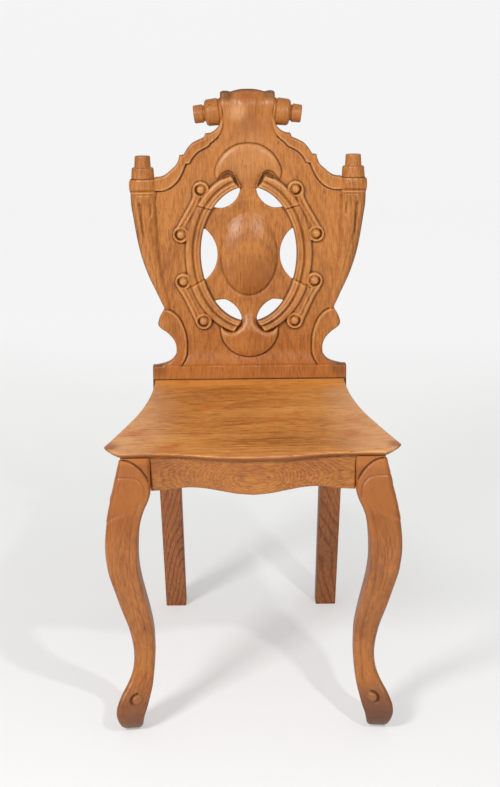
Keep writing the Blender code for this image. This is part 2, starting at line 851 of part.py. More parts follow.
def dome():
    """Low oval boss in the middle of the plate."""
    shape = bmesh.new()
    bmesh.ops.create_uvsphere(shape, u_segments=ROUND_SIDES * 2, v_segments=ROUND_SIDES, radius=1)
    bmesh.ops.scale(shape, vec=(DOME_HALF_WIDTH, DOME_HALF_HEIGHT, DOME_RELIEF), verts=shape.verts)
    mesh = bpy.data.meshes.new("dome")
    shape.to_mesh(mesh)
    shape.free()
    tilt = Matrix.Rotation(math.radians(-DOME_TILT_DEGREES), 4, "X")
    return helper("dome", mesh, Matrix.Translation((0, DOME_RISE, GROUND - DOME_SINK)) @ tilt)


def crescents():
    """The hooked crescent over the ring and the smaller one under it."""
    top = [Vector((0, CRESCENT_RISE + CRESCENT_SHARES[0][1] * CRESCENT_RADIUS))]
    top += path_of(None, CRESCENT_SHARES, CRESCENT_RADIUS, CRESCENT_RADIUS, (0, CRESCENT_RISE))
    low = path_of((0, PELTA_RISE - PELTA_RADIUS), PELTA_SHARES, PELTA_RADIUS, PELTA_RADIUS, (0, PELTA_RISE))
    low.append(Vector((0, low[-1].y)))
    face = GROUND + CRESCENT_RELIEF
    deep = GROUND - RING_ROOT
    return [
        prism("crescent", whole(top), deep, face, CRESCENT_ROUNDING),
        prism("pelta", whole(low), deep, face, CRESCENT_ROUNDING),
    ]


def bracket(eye_shares, side):
    """Scroll bracket: a rounded ribbon between two scrolls with eyes."""
    first, second = [share_point(side * across, up) for across, up in eye_shares]
    bulge_share = -side * BRACKET_BULGE_SHARE
    middle = [first] + arc(first, second, bulge_share)
    outline = offset_path(middle, BRACKET_WIDTH / 2) + offset_path(middle, -BRACKET_WIDTH / 2)[::-1]
    deep = GROUND - RING_ROOT
    pieces = [prism("bracket", outline, deep, GROUND + BRACKET_RELIEF, BRACKET_ROUNDING)]
    for eye in (first, second):
        scroll = ellipse(SCROLL_RADIUS, SCROLL_RADIUS, eye, ROUND_SIDES)
        button = ellipse(EYE_RADIUS, EYE_RADIUS, eye, SMALL_ROUND_SIDES)
        pieces.append(prism("scroll", scroll, deep - SCROLL_DROP, GROUND + SCROLL_RELIEF, BRACKET_ROUNDING))
        pieces.append(prism("eye", button, deep - SCROLL_DROP * 2, GROUND + EYE_RELIEF, BRACKET_ROUNDING))
    return pieces


def crest_roll():
    """Rolled top of the back, turned about its own level axis."""
    right = [(radius * CREST_RADIUS, width * CREST_HALF_WIDTH) for radius, width in CREST_PROFILE_SHARES]
    profile = [(0, CREST_HALF_WIDTH)] + right[::-1]
    profile += [(radius, -width) for radius, width in right[1:]] + [(0, -CREST_HALF_WIDTH)]
    level = Matrix.Rotation(math.radians(90), 4, "Y")
    place = Matrix.Translation((0, BACK_HEIGHT - CREST_RADIUS, -CREST_AXIS_DEPTH))
    return turned("crest_roll", profile, place @ level)


def neck_swell():
    """Gentle swelling down the middle of the neck."""
    top = BACK_HEIGHT - CREST_RADIUS
    path = [(0, top), (0, top - NECK_SWELL_LENGTH / 2), (0, top - NECK_SWELL_LENGTH)]
    radii = [share * NECK_SWELL_HALF_WIDTH for share in NECK_SWELL_WIDTH_SHARES]
    flatness = NECK_SWELL_HEIGHT / NECK_SWELL_HALF_WIDTH
    return tube("neck_swell", path, radii, flatness, GROUND - NECK_SWELL_SINK)


def openings():
    """Cutters for the six openings between the ring and its plate."""
    half_width = RING_INNER_HALF_WIDTH + OPENING_TRIM
    half_height = RING_INNER_HALF_HEIGHT + OPENING_TRIM
    cutters = []
    for side in (1, -1):
        inside = ellipse(half_width, half_height, (0, RING_RISE), RING_STEPS)
        lens = prism("side_opening", inside, BOARD_BACK - OVERRUN, OVERRUN)
        centre = (side * SIDE_OPENING_CENTRE, DOME_RISE)
        low, high = BOARD_BACK - OVERRUN * 2, OVERRUN * 2
        disc = rod("side_disc", SIDE_OPENING_RADIUS, (*centre, low), (*centre, high), RING_STEPS)
        cutters.append(combine(lens, "INTERSECT", [disc]))
        for rows in (UPPER_OPENING_SHARES, LOWER_OPENING_SHARES):
            corner = path_of(None, rows, RING_INNER_HALF_WIDTH, RING_INNER_HALF_HEIGHT, (0, RING_RISE))
            corner = [Vector((side * point.x, point.y)) for point in corner]
            lens = prism("opening", inside, BOARD_BACK - OVERRUN, OVERRUN)
            wedge = prism("wedge", corner, low, high)
            cutters.append(combine(lens, "INTERSECT", [wedge]))
    return cutters


def whole_back():
    """The carved back before it is parted into its three boards."""
    carved = prism("back", back_outline(), BOARD_BACK, 0)
    pocket = prism("pocket", pocket_outline(), GROUND, OVERRUN)
    carved = combine(carved, "DIFFERENCE", [pocket])
    raised = [crest_front(), neck_swell()]
    for side in (1, -1):
        raised += [horn(side), band(side)]
        raised += bracket(UPPER_BRACKET_EYE_SHARES, side) + bracket(LOWER_BRACKET_EYE_SHARES, side)
    raised += ring() + [dome()] + crescents()
    carved = combine(carved, "UNION", raised)
    flutes = [horn_flute(side) for side in (1, -1)]
    return combine(carved, "DIFFERENCE", openings() + flutes)


def roll_place(side):
    """Frame of a crest roll: its Z runs outwards and a little down."""
    outwards = Vector((side, -math.tan(math.radians(ROLL_TILT_DEGREES)), 0)).normalized()
    turn = Vector((0, 0, 1)).rotation_difference(outwards).to_matrix().to_4x4()
    return Matrix.Translation((side * CREST_HALF_WIDTH, ROLL_RISE, -ROLL_AXIS_DEPTH)) @ turn


def crest_end(side):
    """Turned roll that stands out from one side of the neck, with its tenon."""
    length = ROLL_COLLAR_LENGTH + ROLL_BODY_LENGTH + ROLL_STEP_LENGTH + ROLL_END_LENGTH
    start = -ROLL_COLLAR_LENGTH
    collar = ROLL_COLLAR_LENGTH
    body = collar + ROLL_BODY_LENGTH
    step = body + ROLL_STEP_LENGTH
    profile = [
        (0, length),
        (ROLL_END_RADIUS - TURNED_ROUNDING, length),
        (ROLL_END_RADIUS, length - TURNED_ROUNDING),
        (ROLL_END_RADIUS, step),
        (ROLL_STEP_RADIUS, step),
        (ROLL_STEP_RADIUS, body + ROLL_STEP_LENGTH / 3),
        (ROLL_BODY_RADIUS, body - TURNED_ROUNDING),
        (ROLL_BODY_RADIUS, collar + ROLL_GROOVE),
        (ROLL_BODY_RADIUS - ROLL_GROOVE, collar + ROLL_GROOVE / 2),
        (ROLL_BODY_RADIUS, collar),
        (ROLL_COLLAR_RADIUS, collar - ROLL_GROOVE),
        (ROLL_COLLAR_RADIUS, start),
        (0, start),
    ]
    place = roll_place(side)
    roll = turned("crest_end", profile, place)
    inner = CREST_HALF_WIDTH + JOINT_GAP
    reach = CREST_RADIUS * 2
    low = (min(0, side * inner), ROLL_RISE - reach, -ROLL_AXIS_DEPTH - reach)
    high = (max(0, side * inner), ROLL_RISE + reach, -ROLL_AXIS_DEPTH + reach)
    neck = prism("neck", drawn_in(back_outline(), -JOINT_GAP), -reach * 2, reach)
    roll = combine(roll, "DIFFERENCE", [box("neck_side", low, high), neck])
    tenon = rod("tenon", ROLL_TENON_RADIUS, (0, 0, -ROLL_TENON_LENGTH), (0, 0, collar), place=place)
    return combine(roll, "UNION", [tenon])


def roll_socket(side):
    """Cutter for the socket of a crest roll."""
    low = (0, 0, -ROLL_TENON_LENGTH - JOINT_GAP)
    high = (0, 0, ROLL_COLLAR_LENGTH)
    return rod("socket", ROLL_TENON_RADIUS + DOWEL_PLAY, low, high, place=roll_place(side))


def shoulder_post(side):
    """Turned post of two steps, with its tenon."""
    base = POST_BASE_HEIGHT
    top = base + POST_CAP_HEIGHT
    profile = [
        (0, top),
        (POST_CAP_TOP_RADIUS - TURNED_ROUNDING, top),
        (POST_CAP_TOP_RADIUS, top - TURNED_ROUNDING),
        (POST_CAP_FOOT_RADIUS, base),
        (POST_BASE_TOP_RADIUS - TURNED_ROUNDING, base),
        (POST_BASE_TOP_RADIUS, base - TURNED_ROUNDING),
        (POST_BASE_FOOT_RADIUS, 0),
        (POST_TENON_RADIUS, 0),
        (POST_TENON_RADIUS, -POST_TENON_LENGTH),
        (0, -POST_TENON_LENGTH),
    ]
    upright = Matrix.Rotation(math.radians(-90), 4, "X")
    place = Matrix.Translation((side * POST_ACROSS, BAND_TOP + JOINT_GAP, -HORN_AXIS_DEPTH))
    return turned("post", profile, place @ upright)


def post_socket(side):
    """Cutter for the socket of a shoulder post."""
    across = side * POST_ACROSS
    low = BAND_TOP - POST_TENON_LENGTH - JOINT_GAP
    return rod(
        "post_socket",
        POST_TENON_RADIUS + DOWEL_PLAY,
        (across, low, -HORN_AXIS_DEPTH),
        (across, BAND_TOP + OVERRUN, -HORN_AXIS_DEPTH),
        ROUND_SIDES,
    )


def crest_slab(low, high):
    """Box round the crest between two depths."""
    wide = CREST_HALF_WIDTH + OVERRUN
    return box("crest_slab", (-wide, 0, low), (wide, BACK_HEIGHT + OVERRUN, high))


def crest_front():
    """The part of the crest roll that belongs to the middle board."""
    return combine(crest_roll(), "INTERSECT", [crest_slab(BOARD_BACK + JOINT_GAP, CREST_RADIUS)])


def crest_block():
    """Block behind the crest, which carries the roll round to the rear."""
    return combine(crest_roll(), "INTERSECT", [crest_slab(-CREST_RADIUS * 3, BOARD_BACK - JOINT_GAP)])


def back_dowel(rise_share, seam, play):
    """Dowel, or with play its hole, across one seam of the back."""
    rise = rise_share * BACK_HEIGHT
    reach = DOWEL_LENGTH / 2 + play
    return rod(
        "back_dowel",
        DOWEL_RADIUS + play,
        (seam - reach, rise, -BACK_DOWEL_DEPTH),
        (seam + reach, rise, -BACK_DOWEL_DEPTH),
    )


def foot_dowel(across, play):
    """Dowel, or with play its hole, from the back's lower edge into the rear rail."""
    reach = DOWEL_LENGTH / 2 + play
    return rod(
        "foot_dowel",
        DOWEL_RADIUS + play,
        (across, -SEAT_THICKNESS - reach, -FOOT_DOWEL_DEPTH),
        (across, -SEAT_THICKNESS + reach, -FOOT_DOWEL_DEPTH),
    )


def build_back(frame):
    """Three boards, crest block, rolls, posts and dowels of the back."""
    carved = whole_back()
    holes = [roll_socket(side) for side in (1, -1)] + [post_socket(side) for side in (1, -1)]
    for seam in (BACK_SEAM, -BACK_SEAM):
        holes += [back_dowel(share, seam, DOWEL_PLAY) for share in BACK_DOWEL_RISE_SHARES]
    holes += [foot_dowel(across, DOWEL_PLAY) for across in foot_dowel_places()]
    wide = BACK_HALF_WIDTH + OVERRUN
    foot_low = (-wide, SEAT_REAR - OVERRUN, APRON_TOP - OVERRUN * 3)
    foot_high = (wide, SEAT_REAR + OVERRUN * 3, APRON_TOP)
    under = box("under", foot_low, foot_high, frame.matrix_world.inverted())
    carved = combine(carved, "DIFFERENCE", holes + [under])
    half_gap = JOINT_GAP / 2
    spans = {
        "back_board_right": (BACK_SEAM + half_gap, wide),
        "back_board_centre": (-BACK_SEAM + half_gap, BACK_SEAM - half_gap),
        "back_board_left": (-wide, -BACK_SEAM - half_gap),
    }
    for name, (low, high) in spans.items():
        slab = box("slab", (low, -OVERRUN * 3, -OVERRUN * 3), (high, BACK_HEIGHT + OVERRUN, OVERRUN * 2))
        keep(combine(copy_of(carved, name), "INTERSECT", [slab]), name, OAK_BACK, frame)
    socket_cutters = [roll_socket(side) for side in (1, -1)]
    keep(combine(crest_block(), "DIFFERENCE", socket_cutters), "crest_back_block", OAK_BACK, frame)
    for side, word in ((1, "right"), (-1, "left")):
        keep(crest_end(side), f"crest_roll_{word}", OAK_BACK, frame)
        keep(shoulder_post(side), f"shoulder_post_{word}", OAK_BACK, frame)
        for number, share in enumerate(BACK_DOWEL_RISE_SHARES, 1):
            keep(back_dowel(share, side * BACK_SEAM, 0), f"back_dowel_{word}_{number}", BARE_WOOD, frame)
    for number, across in enumerate(foot_dowel_places(), 1):
        keep(foot_dowel(across, 0), f"back_foot_dowel_{number}", BARE_WOOD, frame)


def foot_dowel_places():
    """Places across the chair of the dowels under the back."""
    return (-FOOT_DOWEL_SPACING, 0, FOOT_DOWEL_SPACING)


# Seat

def seat_outline():
    """Seat's outline, from the middle of its front round to its rear edge and back."""
    rows = [(across, -forward, bulge) for across, forward, bulge in SEAT_EDGE_SHARES]
    start = (0, SEAT_REAR - SEAT_DEPTH)
    half = path_of(start, rows, SEAT_HALF_WIDTH, SEAT_DEPTH, (0, SEAT_REAR))
    return whole(half)


def whole_seat():
    """Seat board before it is parted, with its rounded nose and hollowed lower edge."""
    outline = seat_outline()
    nose_foot = SEAT_HEIGHT - SEAT_NOSE
    hollow = SEAT_THICKNESS - SEAT_NOSE
    levels = [(APRON_TOP + rise * hollow, draw * SEAT_UNDERCUT) for rise, draw in SEAT_HOLLOW_SHARES]
    levels += [
        (nose_foot + SEAT_ROUNDING, 0),
        (SEAT_HEIGHT - SEAT_ROUNDING, 0),
        (SEAT_HEIGHT, SEAT_ROUNDING),
    ]
    rings = []
    for height, draw in levels:
        ring = []
        for point, moved in zip(outline, drawn_in(outline, draw)):
            at_rear = point.y > SEAT_REAR - WELD
            ring.append((moved.x, point.y if at_rear else moved.y, height))
        rings.append(ring)
    return lofted("seat", rings)


def seat_dowel(across, seam, play):
    """Dowel, or with play its hole, across one seam of the seat."""
    middle = APRON_TOP + SEAT_THICKNESS / 2
    reach = DOWEL_LENGTH / 2 + play
    start, end = (across, seam - reach, middle), (across, seam + reach, middle)
    return rod("seat_dowel", SEAT_DOWEL_RADIUS + play, start, end)


def build_seat(frame):
    """Three seat boards with the dowels across their seams."""
    board = combine(whole_seat(), "DIFFERENCE", [board_space(frame)])
    places = (-SEAT_DOWEL_SPACING, 0, SEAT_DOWEL_SPACING)
    holes = []
    for seam in (REAR_SEAM, FRONT_SEAM):
        holes += [seat_dowel(across, seam, DOWEL_PLAY) for across in places]
    holes += [screw_hole(*place) for place in seat_screw_places()]
    board = combine(board, "DIFFERENCE", holes)
    half_gap = JOINT_GAP / 2
    spans = {
        "seat_board_rear": (REAR_SEAM + half_gap, SEAT_REAR + OVERRUN),
        "seat_board_middle": (FRONT_SEAM + half_gap, REAR_SEAM - half_gap),
        "seat_board_front": (SEAT_REAR - SEAT_DEPTH - OVERRUN, FRONT_SEAM - half_gap),
    }
    wide = SEAT_HALF_WIDTH + OVERRUN
    for name, (low, high) in spans.items():
        slab = box("slab", (-wide, low, APRON_TOP - OVERRUN), (wide, high, SEAT_HEIGHT + OVERRUN))
        keep(combine(copy_of(board, name), "INTERSECT", [slab]), name, OAK_SEAT)
    number = 1
    for seam in (REAR_SEAM, FRONT_SEAM):
        for across in places:
            keep(seat_dowel(across, seam, 0), f"seat_dowel_{number}", BARE_WOOD)
            number += 1


# Legs

def leg_section(height, inner, outer, recess):
    """Ring of the right front leg's section at one height, drawn in by the recess at two corners."""
    low_x, high_x = LEG_INNER + inner, LEG_OUTER + outer
    near_y = FRONT_LEG_FACE - outer
    far_y = FRONT_LEG_FACE + LEG_SIZE - inner
    corners = (
        (low_x, near_y + recess, 180),
        (high_x, near_y, 270),
        (high_x - recess, far_y, 0),
        (low_x, far_y, 90),
    )
    ring = []
    for x, y, start in corners:
        centre_x = x + LEG_ROUNDING if x == low_x else x - LEG_ROUNDING
        centre_y = y - LEG_ROUNDING if y == far_y else y + LEG_ROUNDING
        for turn in LEG_CORNER_TURNS:
            angle = math.radians(start + turn)
            corner_x = centre_x + LEG_ROUNDING * math.cos(angle)
            ring.append((corner_x, centre_y + LEG_ROUNDING * math.sin(angle), height))
    return ring


def front_leg():
    """Right front leg, sawn to the same curve on both pairs of faces."""
    rings = []
    for step in range(LEG_STEPS + 1):
        share = step / LEG_STEPS
        outer = smooth_value(LEG_OUTER_SHARES, share) * LEG_SWING
        inner = smooth_value(LEG_INNER_SHARES, share) * LEG_SWING
        recess = smooth_value(LEG_RECESS_SHARES, share) * LEG_SWING
        rings.append(leg_section(share * (APRON_TOP - JOINT_GAP), inner, outer, recess))
    return lofted("front_leg", rings)


def rear_leg_section(share):
    """Low and high corners of a rear leg's section at a share of its height."""
    sweep = (1 - share) ** REAR_LEG_SWEEP_SHARE
    inner = REAR_LEG_INNER_TOP + (REAR_LEG_INNER_FOOT - REAR_LEG_INNER_TOP) * (1 - share)
    outer = REAR_LEG_OUTER_TOP + (REAR_LEG_OUTER_FOOT - REAR_LEG_OUTER_TOP) * (1 - share)
    top_face = SEAT_REAR + JOINT_GAP * 2
    foot_back = SEAT_REAR + REAR_FOOT_REACH
    face = top_face + (foot_back - REAR_LEG_FOOT_DEPTH - top_face) * sweep
    back = top_face + REAR_LEG_TOP_DEPTH + (foot_back - top_face - REAR_LEG_TOP_DEPTH) * sweep
    return inner, outer, face, back


def bevelled_ring(inner, outer, face, back, height):
    """Eight-sided ring round a section with broken corners."""
    cut = REAR_LEG_EDGE
    return [
        (inner + cut, face, height),
        (outer - cut, face, height),
        (outer, face + cut, height),
        (outer, back - cut, height),
        (outer - cut, back, height),
        (inner + cut, back, height),
        (inner, back - cut, height),
        (inner, face + cut, height),
    ]


def board_space(frame):
    """Cutter that clears the raked back board, with the joint's gap, out of its neighbours."""
    wide = BACK_HALF_WIDTH + OVERRUN
    low = (-wide, -OVERRUN * 4, BOARD_BACK - JOINT_GAP)
    return box("board_space", low, (wide, OVERRUN * 4, JOINT_GAP), frame.matrix_world)


def rear_leg(frame):
    """Right rear leg, with the stump that rises behind the back board."""
    top = APRON_TOP - JOINT_GAP
    rings = []
    for step in range(REAR_LEG_STEPS + 1):
        share = step / REAR_LEG_STEPS
        rings.append(bevelled_ring(*rear_leg_section(share), share * top))
    inner, outer, _, back = rear_leg_section(1)
    face = SEAT_REAR + BOARD_THICKNESS / 2
    root = bevelled_ring(inner, outer, face, back, top - REAR_LEG_STUMP)
    crown = []
    for x, y, _ in root:
        fall = (y - face) * REAR_LEG_CROWN_SLOPE_SHARE
        crown.append((x, y, top + REAR_LEG_STUMP - fall))
    stump = combine(lofted("stump", [root, crown]), "DIFFERENCE", [board_space(frame)])
    return combine(lofted("rear_leg", rings), "UNION", [stump])


# Rails

def rail_tenon(name, middle, direction, length, play):
    """Tenon, or with play its mortise, that runs from a rail's end into a leg."""
    half = Vector((abs(direction[1]), abs(direction[0]), 0)) * (TENON_THICKNESS / 2 + play)
    low_z = FRAME_BOTTOM + TENON_MARGIN - play
    high_z = APRON_TOP - TENON_MARGIN + play
    middle = Vector((*middle, 0))
    along = Vector((*direction, 0))
    start = middle - along * (OVERRUN if play else TENON_MARGIN)
    end = middle + along * (length + play)
    low = Vector(map(min, start - half, end - half))
    high = Vector(map(max, start + half, end + half))
    low.z, high.z = low_z, high_z
    return box(name, low, high)


def tenon_places(side):
    """Middle, direction and length of each tenon of one side."""
    front_end = (side * LEG_INNER, FRONT_LEG_FACE + RAIL_THICKNESS / 2)
    side_front = (side * (SIDE_RAIL_FRONT_OUTER - RAIL_THICKNESS / 2), FRONT_LEG_FACE + LEG_SIZE)
    side_rear = (side * (SIDE_RAIL_REAR_OUTER - RAIL_THICKNESS / 2), SEAT_REAR)
    rear_end = (side * REAR_LEG_INNER_TOP, REAR_RAIL_FRONT + REAR_RAIL_THICKNESS / 2)
    return {
        "front": (front_end, (side, 0), FRONT_TENON_LENGTH),
        "side_front": (side_front, (0, -1), SIDE_TENON_LENGTH),
        "side_rear": (side_rear, (0, 1), SIDE_TENON_LENGTH),
        "rear": (rear_end, (side, 0), REAR_TENON_LENGTH),
    }


def tenons(side, names, play):
    """The named tenons of one side, or with play their mortises."""
    places = tenon_places(side)
    return [rail_tenon(name, *places[name], play) for name in names]


def front_rail():
    """Rail under the seat's front, bowed like its edge and shaped below."""
    half = LEG_INNER - JOINT_GAP
    bow = []
    for point in seat_outline():
        if abs(point.x) < half and point.y < FRONT_SEAM:
            bow.append(Vector((point.x, point.y + FRONT_SETBACK)))
    bow.sort(key=lambda point: point.x)
    face = FRONT_LEG_FACE
    front = [Vector((-half, face))] + bow + [Vector((half, face))]
    rear = face + RAIL_THICKNESS
    plan = front + [Vector((half, rear)), Vector((-half, rear))]
    rail = prism("front_rail", plan, FRAME_BOTTOM - OVERRUN, APRON_TOP - JOINT_GAP)
    drop = APRON_TOP - FRAME_BOTTOM
    lower = path_of((0, -drop), [(a, -d, b) for a, d, b in FRONT_RAIL_EDGE_SHARES], half, drop)
    lower.append(Vector((half + OVERRUN, lower[-1].y)))
    keep_half = lower + [Vector((half + OVERRUN, OVERRUN)), Vector((0, OVERRUN))]
    place = Matrix.Translation((0, 0, APRON_TOP)) @ Matrix.Rotation(math.radians(90), 4, "X")
    depth = abs(SEAT_REAR - SEAT_DEPTH) + OVERRUN
    mask = prism("rail_face", whole(keep_half), 0, depth, place=place)
    rail = combine(rail, "INTERSECT", [mask])
    return combine(rail, "UNION", tenons(1, ["front"], 0) + tenons(-1, ["front"], 0))


def side_rail_plan():
    """Plan of the right side rail: front outer, rear outer, rear inner, front inner."""
    front = FRONT_LEG_FACE + LEG_SIZE + JOINT_GAP
    rear = SEAT_REAR + JOINT_GAP
    return [
        Vector((SIDE_RAIL_FRONT_OUTER, front)),
        Vector((SIDE_RAIL_REAR_OUTER, rear)),
        Vector((SIDE_RAIL_REAR_OUTER - RAIL_THICKNESS, rear)),
        Vector((SIDE_RAIL_FRONT_OUTER - RAIL_THICKNESS, front)),
    ]


def side_rail():
    """Right side rail, with a tenon at each end."""
    rail = prism("side_rail", side_rail_plan(), FRAME_BOTTOM, APRON_TOP - JOINT_GAP)
    return combine(rail, "UNION", tenons(1, ["side_front", "side_rear"], 0))


def rear_rail():
    """Rail under the back, between the rear legs."""
    half = rear_leg_section(FRAME_BOTTOM / APRON_TOP)[0] - JOINT_GAP
    low = (-half, REAR_RAIL_FRONT, FRAME_BOTTOM)
    high = (half, REAR_RAIL_FRONT + REAR_RAIL_THICKNESS, APRON_TOP - JOINT_GAP)
    rail = box("rear_rail", low, high)
    return combine(rail, "UNION", tenons(1, ["rear"], 0) + tenons(-1, ["rear"], 0))


def rail_inner_at(y):
    """Place of the right side rail's inner face at a depth."""
    _, _, rear, front = side_rail_plan()
    part = (y - front.y) / (rear.y - front.y)
    return front.x + (rear.x - front.x) * part


def corner_blocks():
    """Plans of the right corner blocks, front and rear."""
    gap = JOINT_GAP
    face = FRONT_LEG_FACE + RAIL_THICKNESS + gap
    leg_back = FRONT_LEG_FACE + LEG_SIZE + gap
    leg_side = LEG_INNER - gap
    reach_y = leg_back + BLOCK_REACH
    front = [
        (leg_side - BLOCK_REACH, face),
        (leg_side, face),
        (leg_side, leg_back),
        (rail_inner_at(leg_back) - gap, leg_back),
        (rail_inner_at(reach_y) - gap, reach_y),
        (rail_inner_at(reach_y) - gap - BLOCK_TIP, reach_y),
        (leg_side - BLOCK_REACH, face + BLOCK_TIP),
    ]
    rear_face = REAR_RAIL_FRONT - gap
    rear_y = rear_face - BLOCK_REACH
    rear = [
        (rail_inner_at(rear_face) - gap, rear_face),
        (rail_inner_at(rear_face) - gap - BLOCK_REACH, rear_face),
        (rail_inner_at(rear_face) - gap - BLOCK_REACH, rear_face - BLOCK_TIP),
        (rail_inner_at(rear_y) - gap - BLOCK_TIP, rear_y),
        (rail_inner_at(rear_y) - gap, rear_y),
    ]
    return {"front": front, "rear": rear}


def seat_screw_places():
    """Places of the four screws that rise through the corner blocks."""
    front_across, front_along = SEAT_SCREW_FRONT_OFFSETS
    rear_across, rear_along = SEAT_SCREW_REAR_OFFSETS
    front = (LEG_INNER - front_across, FRONT_LEG_FACE + LEG_SIZE + front_along)
    rear_y = REAR_RAIL_FRONT - rear_along
    rear = (rail_inner_at(rear_y) - rear_across, rear_y)
    return [(side * x, y) for side in (1, -1) for x, y in (front, rear)]


def screw(name, start, direction, length):
    """Screw with a round head at its start and a plain shank."""
    profile = [
        (0, 0),
        (SCREW_SHANK_RADIUS * SCREW_TIP_SHARE, 0),
        (SCREW_SHANK_RADIUS, -SCREW_TIP_LENGTH),
        (SCREW_SHANK_RADIUS, -length),
        (SCREW_HEAD_RADIUS, -length),
        (SCREW_HEAD_RADIUS * SCREW_HEAD_CROWN_SHARE, -length - SCREW_HEAD_HEIGHT),
        (0, -length - SCREW_HEAD_HEIGHT),
    ]
    turn = Vector((0, 0, 1)).rotation_difference(Vector(direction)).to_matrix().to_4x4()
    tip = Vector(start) + Vector(direction) * length
    return turned(name, profile, Matrix.Translation(tip) @ turn, SMALL_ROUND_SIDES)


def seat_screw_start():
    """Height of the underside of a seat screw's head."""
    return APRON_TOP - JOINT_GAP - BLOCK_HEIGHT - JOINT_GAP


def screw_hole(x, y):
    """Cutter for a seat screw's hole through its block and into the seat."""
    low = seat_screw_start() - SCREW_HEAD_HEIGHT
    high = seat_screw_start() + SEAT_SCREW_LENGTH + DOWEL_PLAY
    return rod("screw_hole", SCREW_SHANK_RADIUS + DOWEL_PLAY, (x, y, low), (x, y, high))


def back_screw_places():
    """Starts of the four screws that hold the back to the legs' stumps."""
    _, _, _, back = rear_leg_section(1)
    middle = (REAR_LEG_INNER_TOP + REAR_LEG_OUTER_TOP) / 2
    level = SEAT_HEIGHT - BACK_SCREW_DROP
    heights = (level - BACK_SCREW_SPACING / 2, level + BACK_SCREW_SPACING / 2)
    return [(side * middle, back + JOINT_GAP, height) for side in (1, -1) for height in heights]


def back_screw_hole(x, y, z):
    """Cutter for a back screw's hole."""
    end = y - BACK_SCREW_LENGTH - DOWEL_PLAY
    return rod("back_screw_hole", SCREW_SHANK_RADIUS + DOWEL_PLAY, (x, y + OVERRUN, z), (x, end, z))


def build_frame(frame):
    """Rails, blocks, legs and screws under the seat."""
    keep(front_rail(), "front_rail", OAK_FRAME)
    dowel_holes = [foot_dowel(across, DOWEL_PLAY) for across in foot_dowel_places()]
    for hole in dowel_holes:
        hole.matrix_world = frame.matrix_world
    keep(combine(rear_rail(), "DIFFERENCE", dowel_holes), "rear_rail", OAK_FRAME)
    front = combine(front_leg(), "DIFFERENCE", tenons(1, ["front", "side_front"], DOWEL_PLAY))
    rear = combine(rear_leg(frame), "DIFFERENCE", tenons(1, ["side_rear", "rear"], DOWEL_PLAY))
    rail = side_rail()
    screw_holes = [back_screw_hole(*place) for place in back_screw_places()]
    for side, word in ((1, "right"), (-1, "left")):
        for piece, name, finish in (
            (front, "front_leg", OAK_LEGS),
            (rear, "rear_leg", OAK_REAR_LEGS),
            (rail, "side_rail", OAK_FRAME),
        ):
            made = copy_of(piece, name) if side > 0 else mirrored(piece, name)
            if name == "rear_leg":
                made = combine(made, "DIFFERENCE", screw_holes)
            keep(made, f"{name}_{word}", finish)
        top = APRON_TOP - JOINT_GAP
        for place, plan in corner_blocks().items():
            outline = [(side * x, y) for x, y in plan]
            block = prism("block", outline, top - BLOCK_HEIGHT, top)
            holes = [screw_hole(*spot) for spot in seat_screw_places()]
            keep(combine(block, "DIFFERENCE", holes), f"corner_block_{place}_{word}", BARE_WOOD)
    for number, (x, y) in enumerate(seat_screw_places(), 1):
        made = screw("seat_screw", (x, y, seat_screw_start()), (0, 0, 1), SEAT_SCREW_LENGTH)
        keep(made, f"seat_screw_{number}", SCREW_STEEL)
    for number, place in enumerate(back_screw_places(), 1):
        made = screw("back_screw", place, (0, -1, 0), BACK_SCREW_LENGTH)
        keep(made, f"back_screw_{number}", SCREW_STEEL)


def back_frame():
    """Empty at the seat's rear edge that carries the raked back."""
    frame = bpy.data.objects.new("back_frame", None)
    PARTS.objects.link(frame)
    frame.location = (0, SEAT_REAR, SEAT_HEIGHT)
    frame.rotation_euler.x = math.radians(90 - BACK_RAKE_DEGREES)
    bpy.context.view_layer.update()
    return frame


def cut_board_screw_holes():
    """Screw holes in the back's outer boards."""
    for word in ("right", "left"):
        board = bpy.data.objects[f"back_board_{word}"]
        for number, place in enumerate(back_screw_places()):
            cutter = back_screw_hole(*place)
            step = board.modifiers.new(f"screw_hole_{number}", "BOOLEAN")
            step.operation = "DIFFERENCE"
            step.solver = "EXACT"
            step.object = cutter


def main():
    """Builds the whole chair."""
    frame = back_frame()
    build_back(frame)
    build_seat(frame)
    build_frame(frame)
    cut_board_screw_holes()


main()
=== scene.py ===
"""Oak hall chair with a carved shield back: its visible surfaces, finishes, floor, lamps and camera.

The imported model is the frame. Each carved, turned or sawn piece is a surface computed here in the
same place as the plain piece that it stands for, and hidden pieces keep their plain shape.
"""

import logging
import math
from collections.abc import Callable, Sequence
from dataclasses import dataclass
from enum import Enum

import bpy
import numpy as np
from mathutils import Matrix, Vector


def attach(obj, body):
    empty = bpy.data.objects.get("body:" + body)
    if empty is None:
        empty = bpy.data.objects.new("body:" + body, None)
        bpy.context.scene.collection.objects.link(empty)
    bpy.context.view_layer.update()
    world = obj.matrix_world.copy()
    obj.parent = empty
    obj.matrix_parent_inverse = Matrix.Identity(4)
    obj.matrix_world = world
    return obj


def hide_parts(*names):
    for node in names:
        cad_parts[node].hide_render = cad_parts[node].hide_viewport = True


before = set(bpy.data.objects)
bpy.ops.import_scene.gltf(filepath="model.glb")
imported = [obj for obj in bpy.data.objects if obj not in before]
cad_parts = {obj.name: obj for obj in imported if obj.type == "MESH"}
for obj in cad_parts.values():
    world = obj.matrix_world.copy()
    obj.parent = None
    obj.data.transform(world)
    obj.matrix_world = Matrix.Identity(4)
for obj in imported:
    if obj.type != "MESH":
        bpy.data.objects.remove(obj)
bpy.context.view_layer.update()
LOG = logging.getLogger("hall_chair")
MM = 0.001
TINY = 1e-6
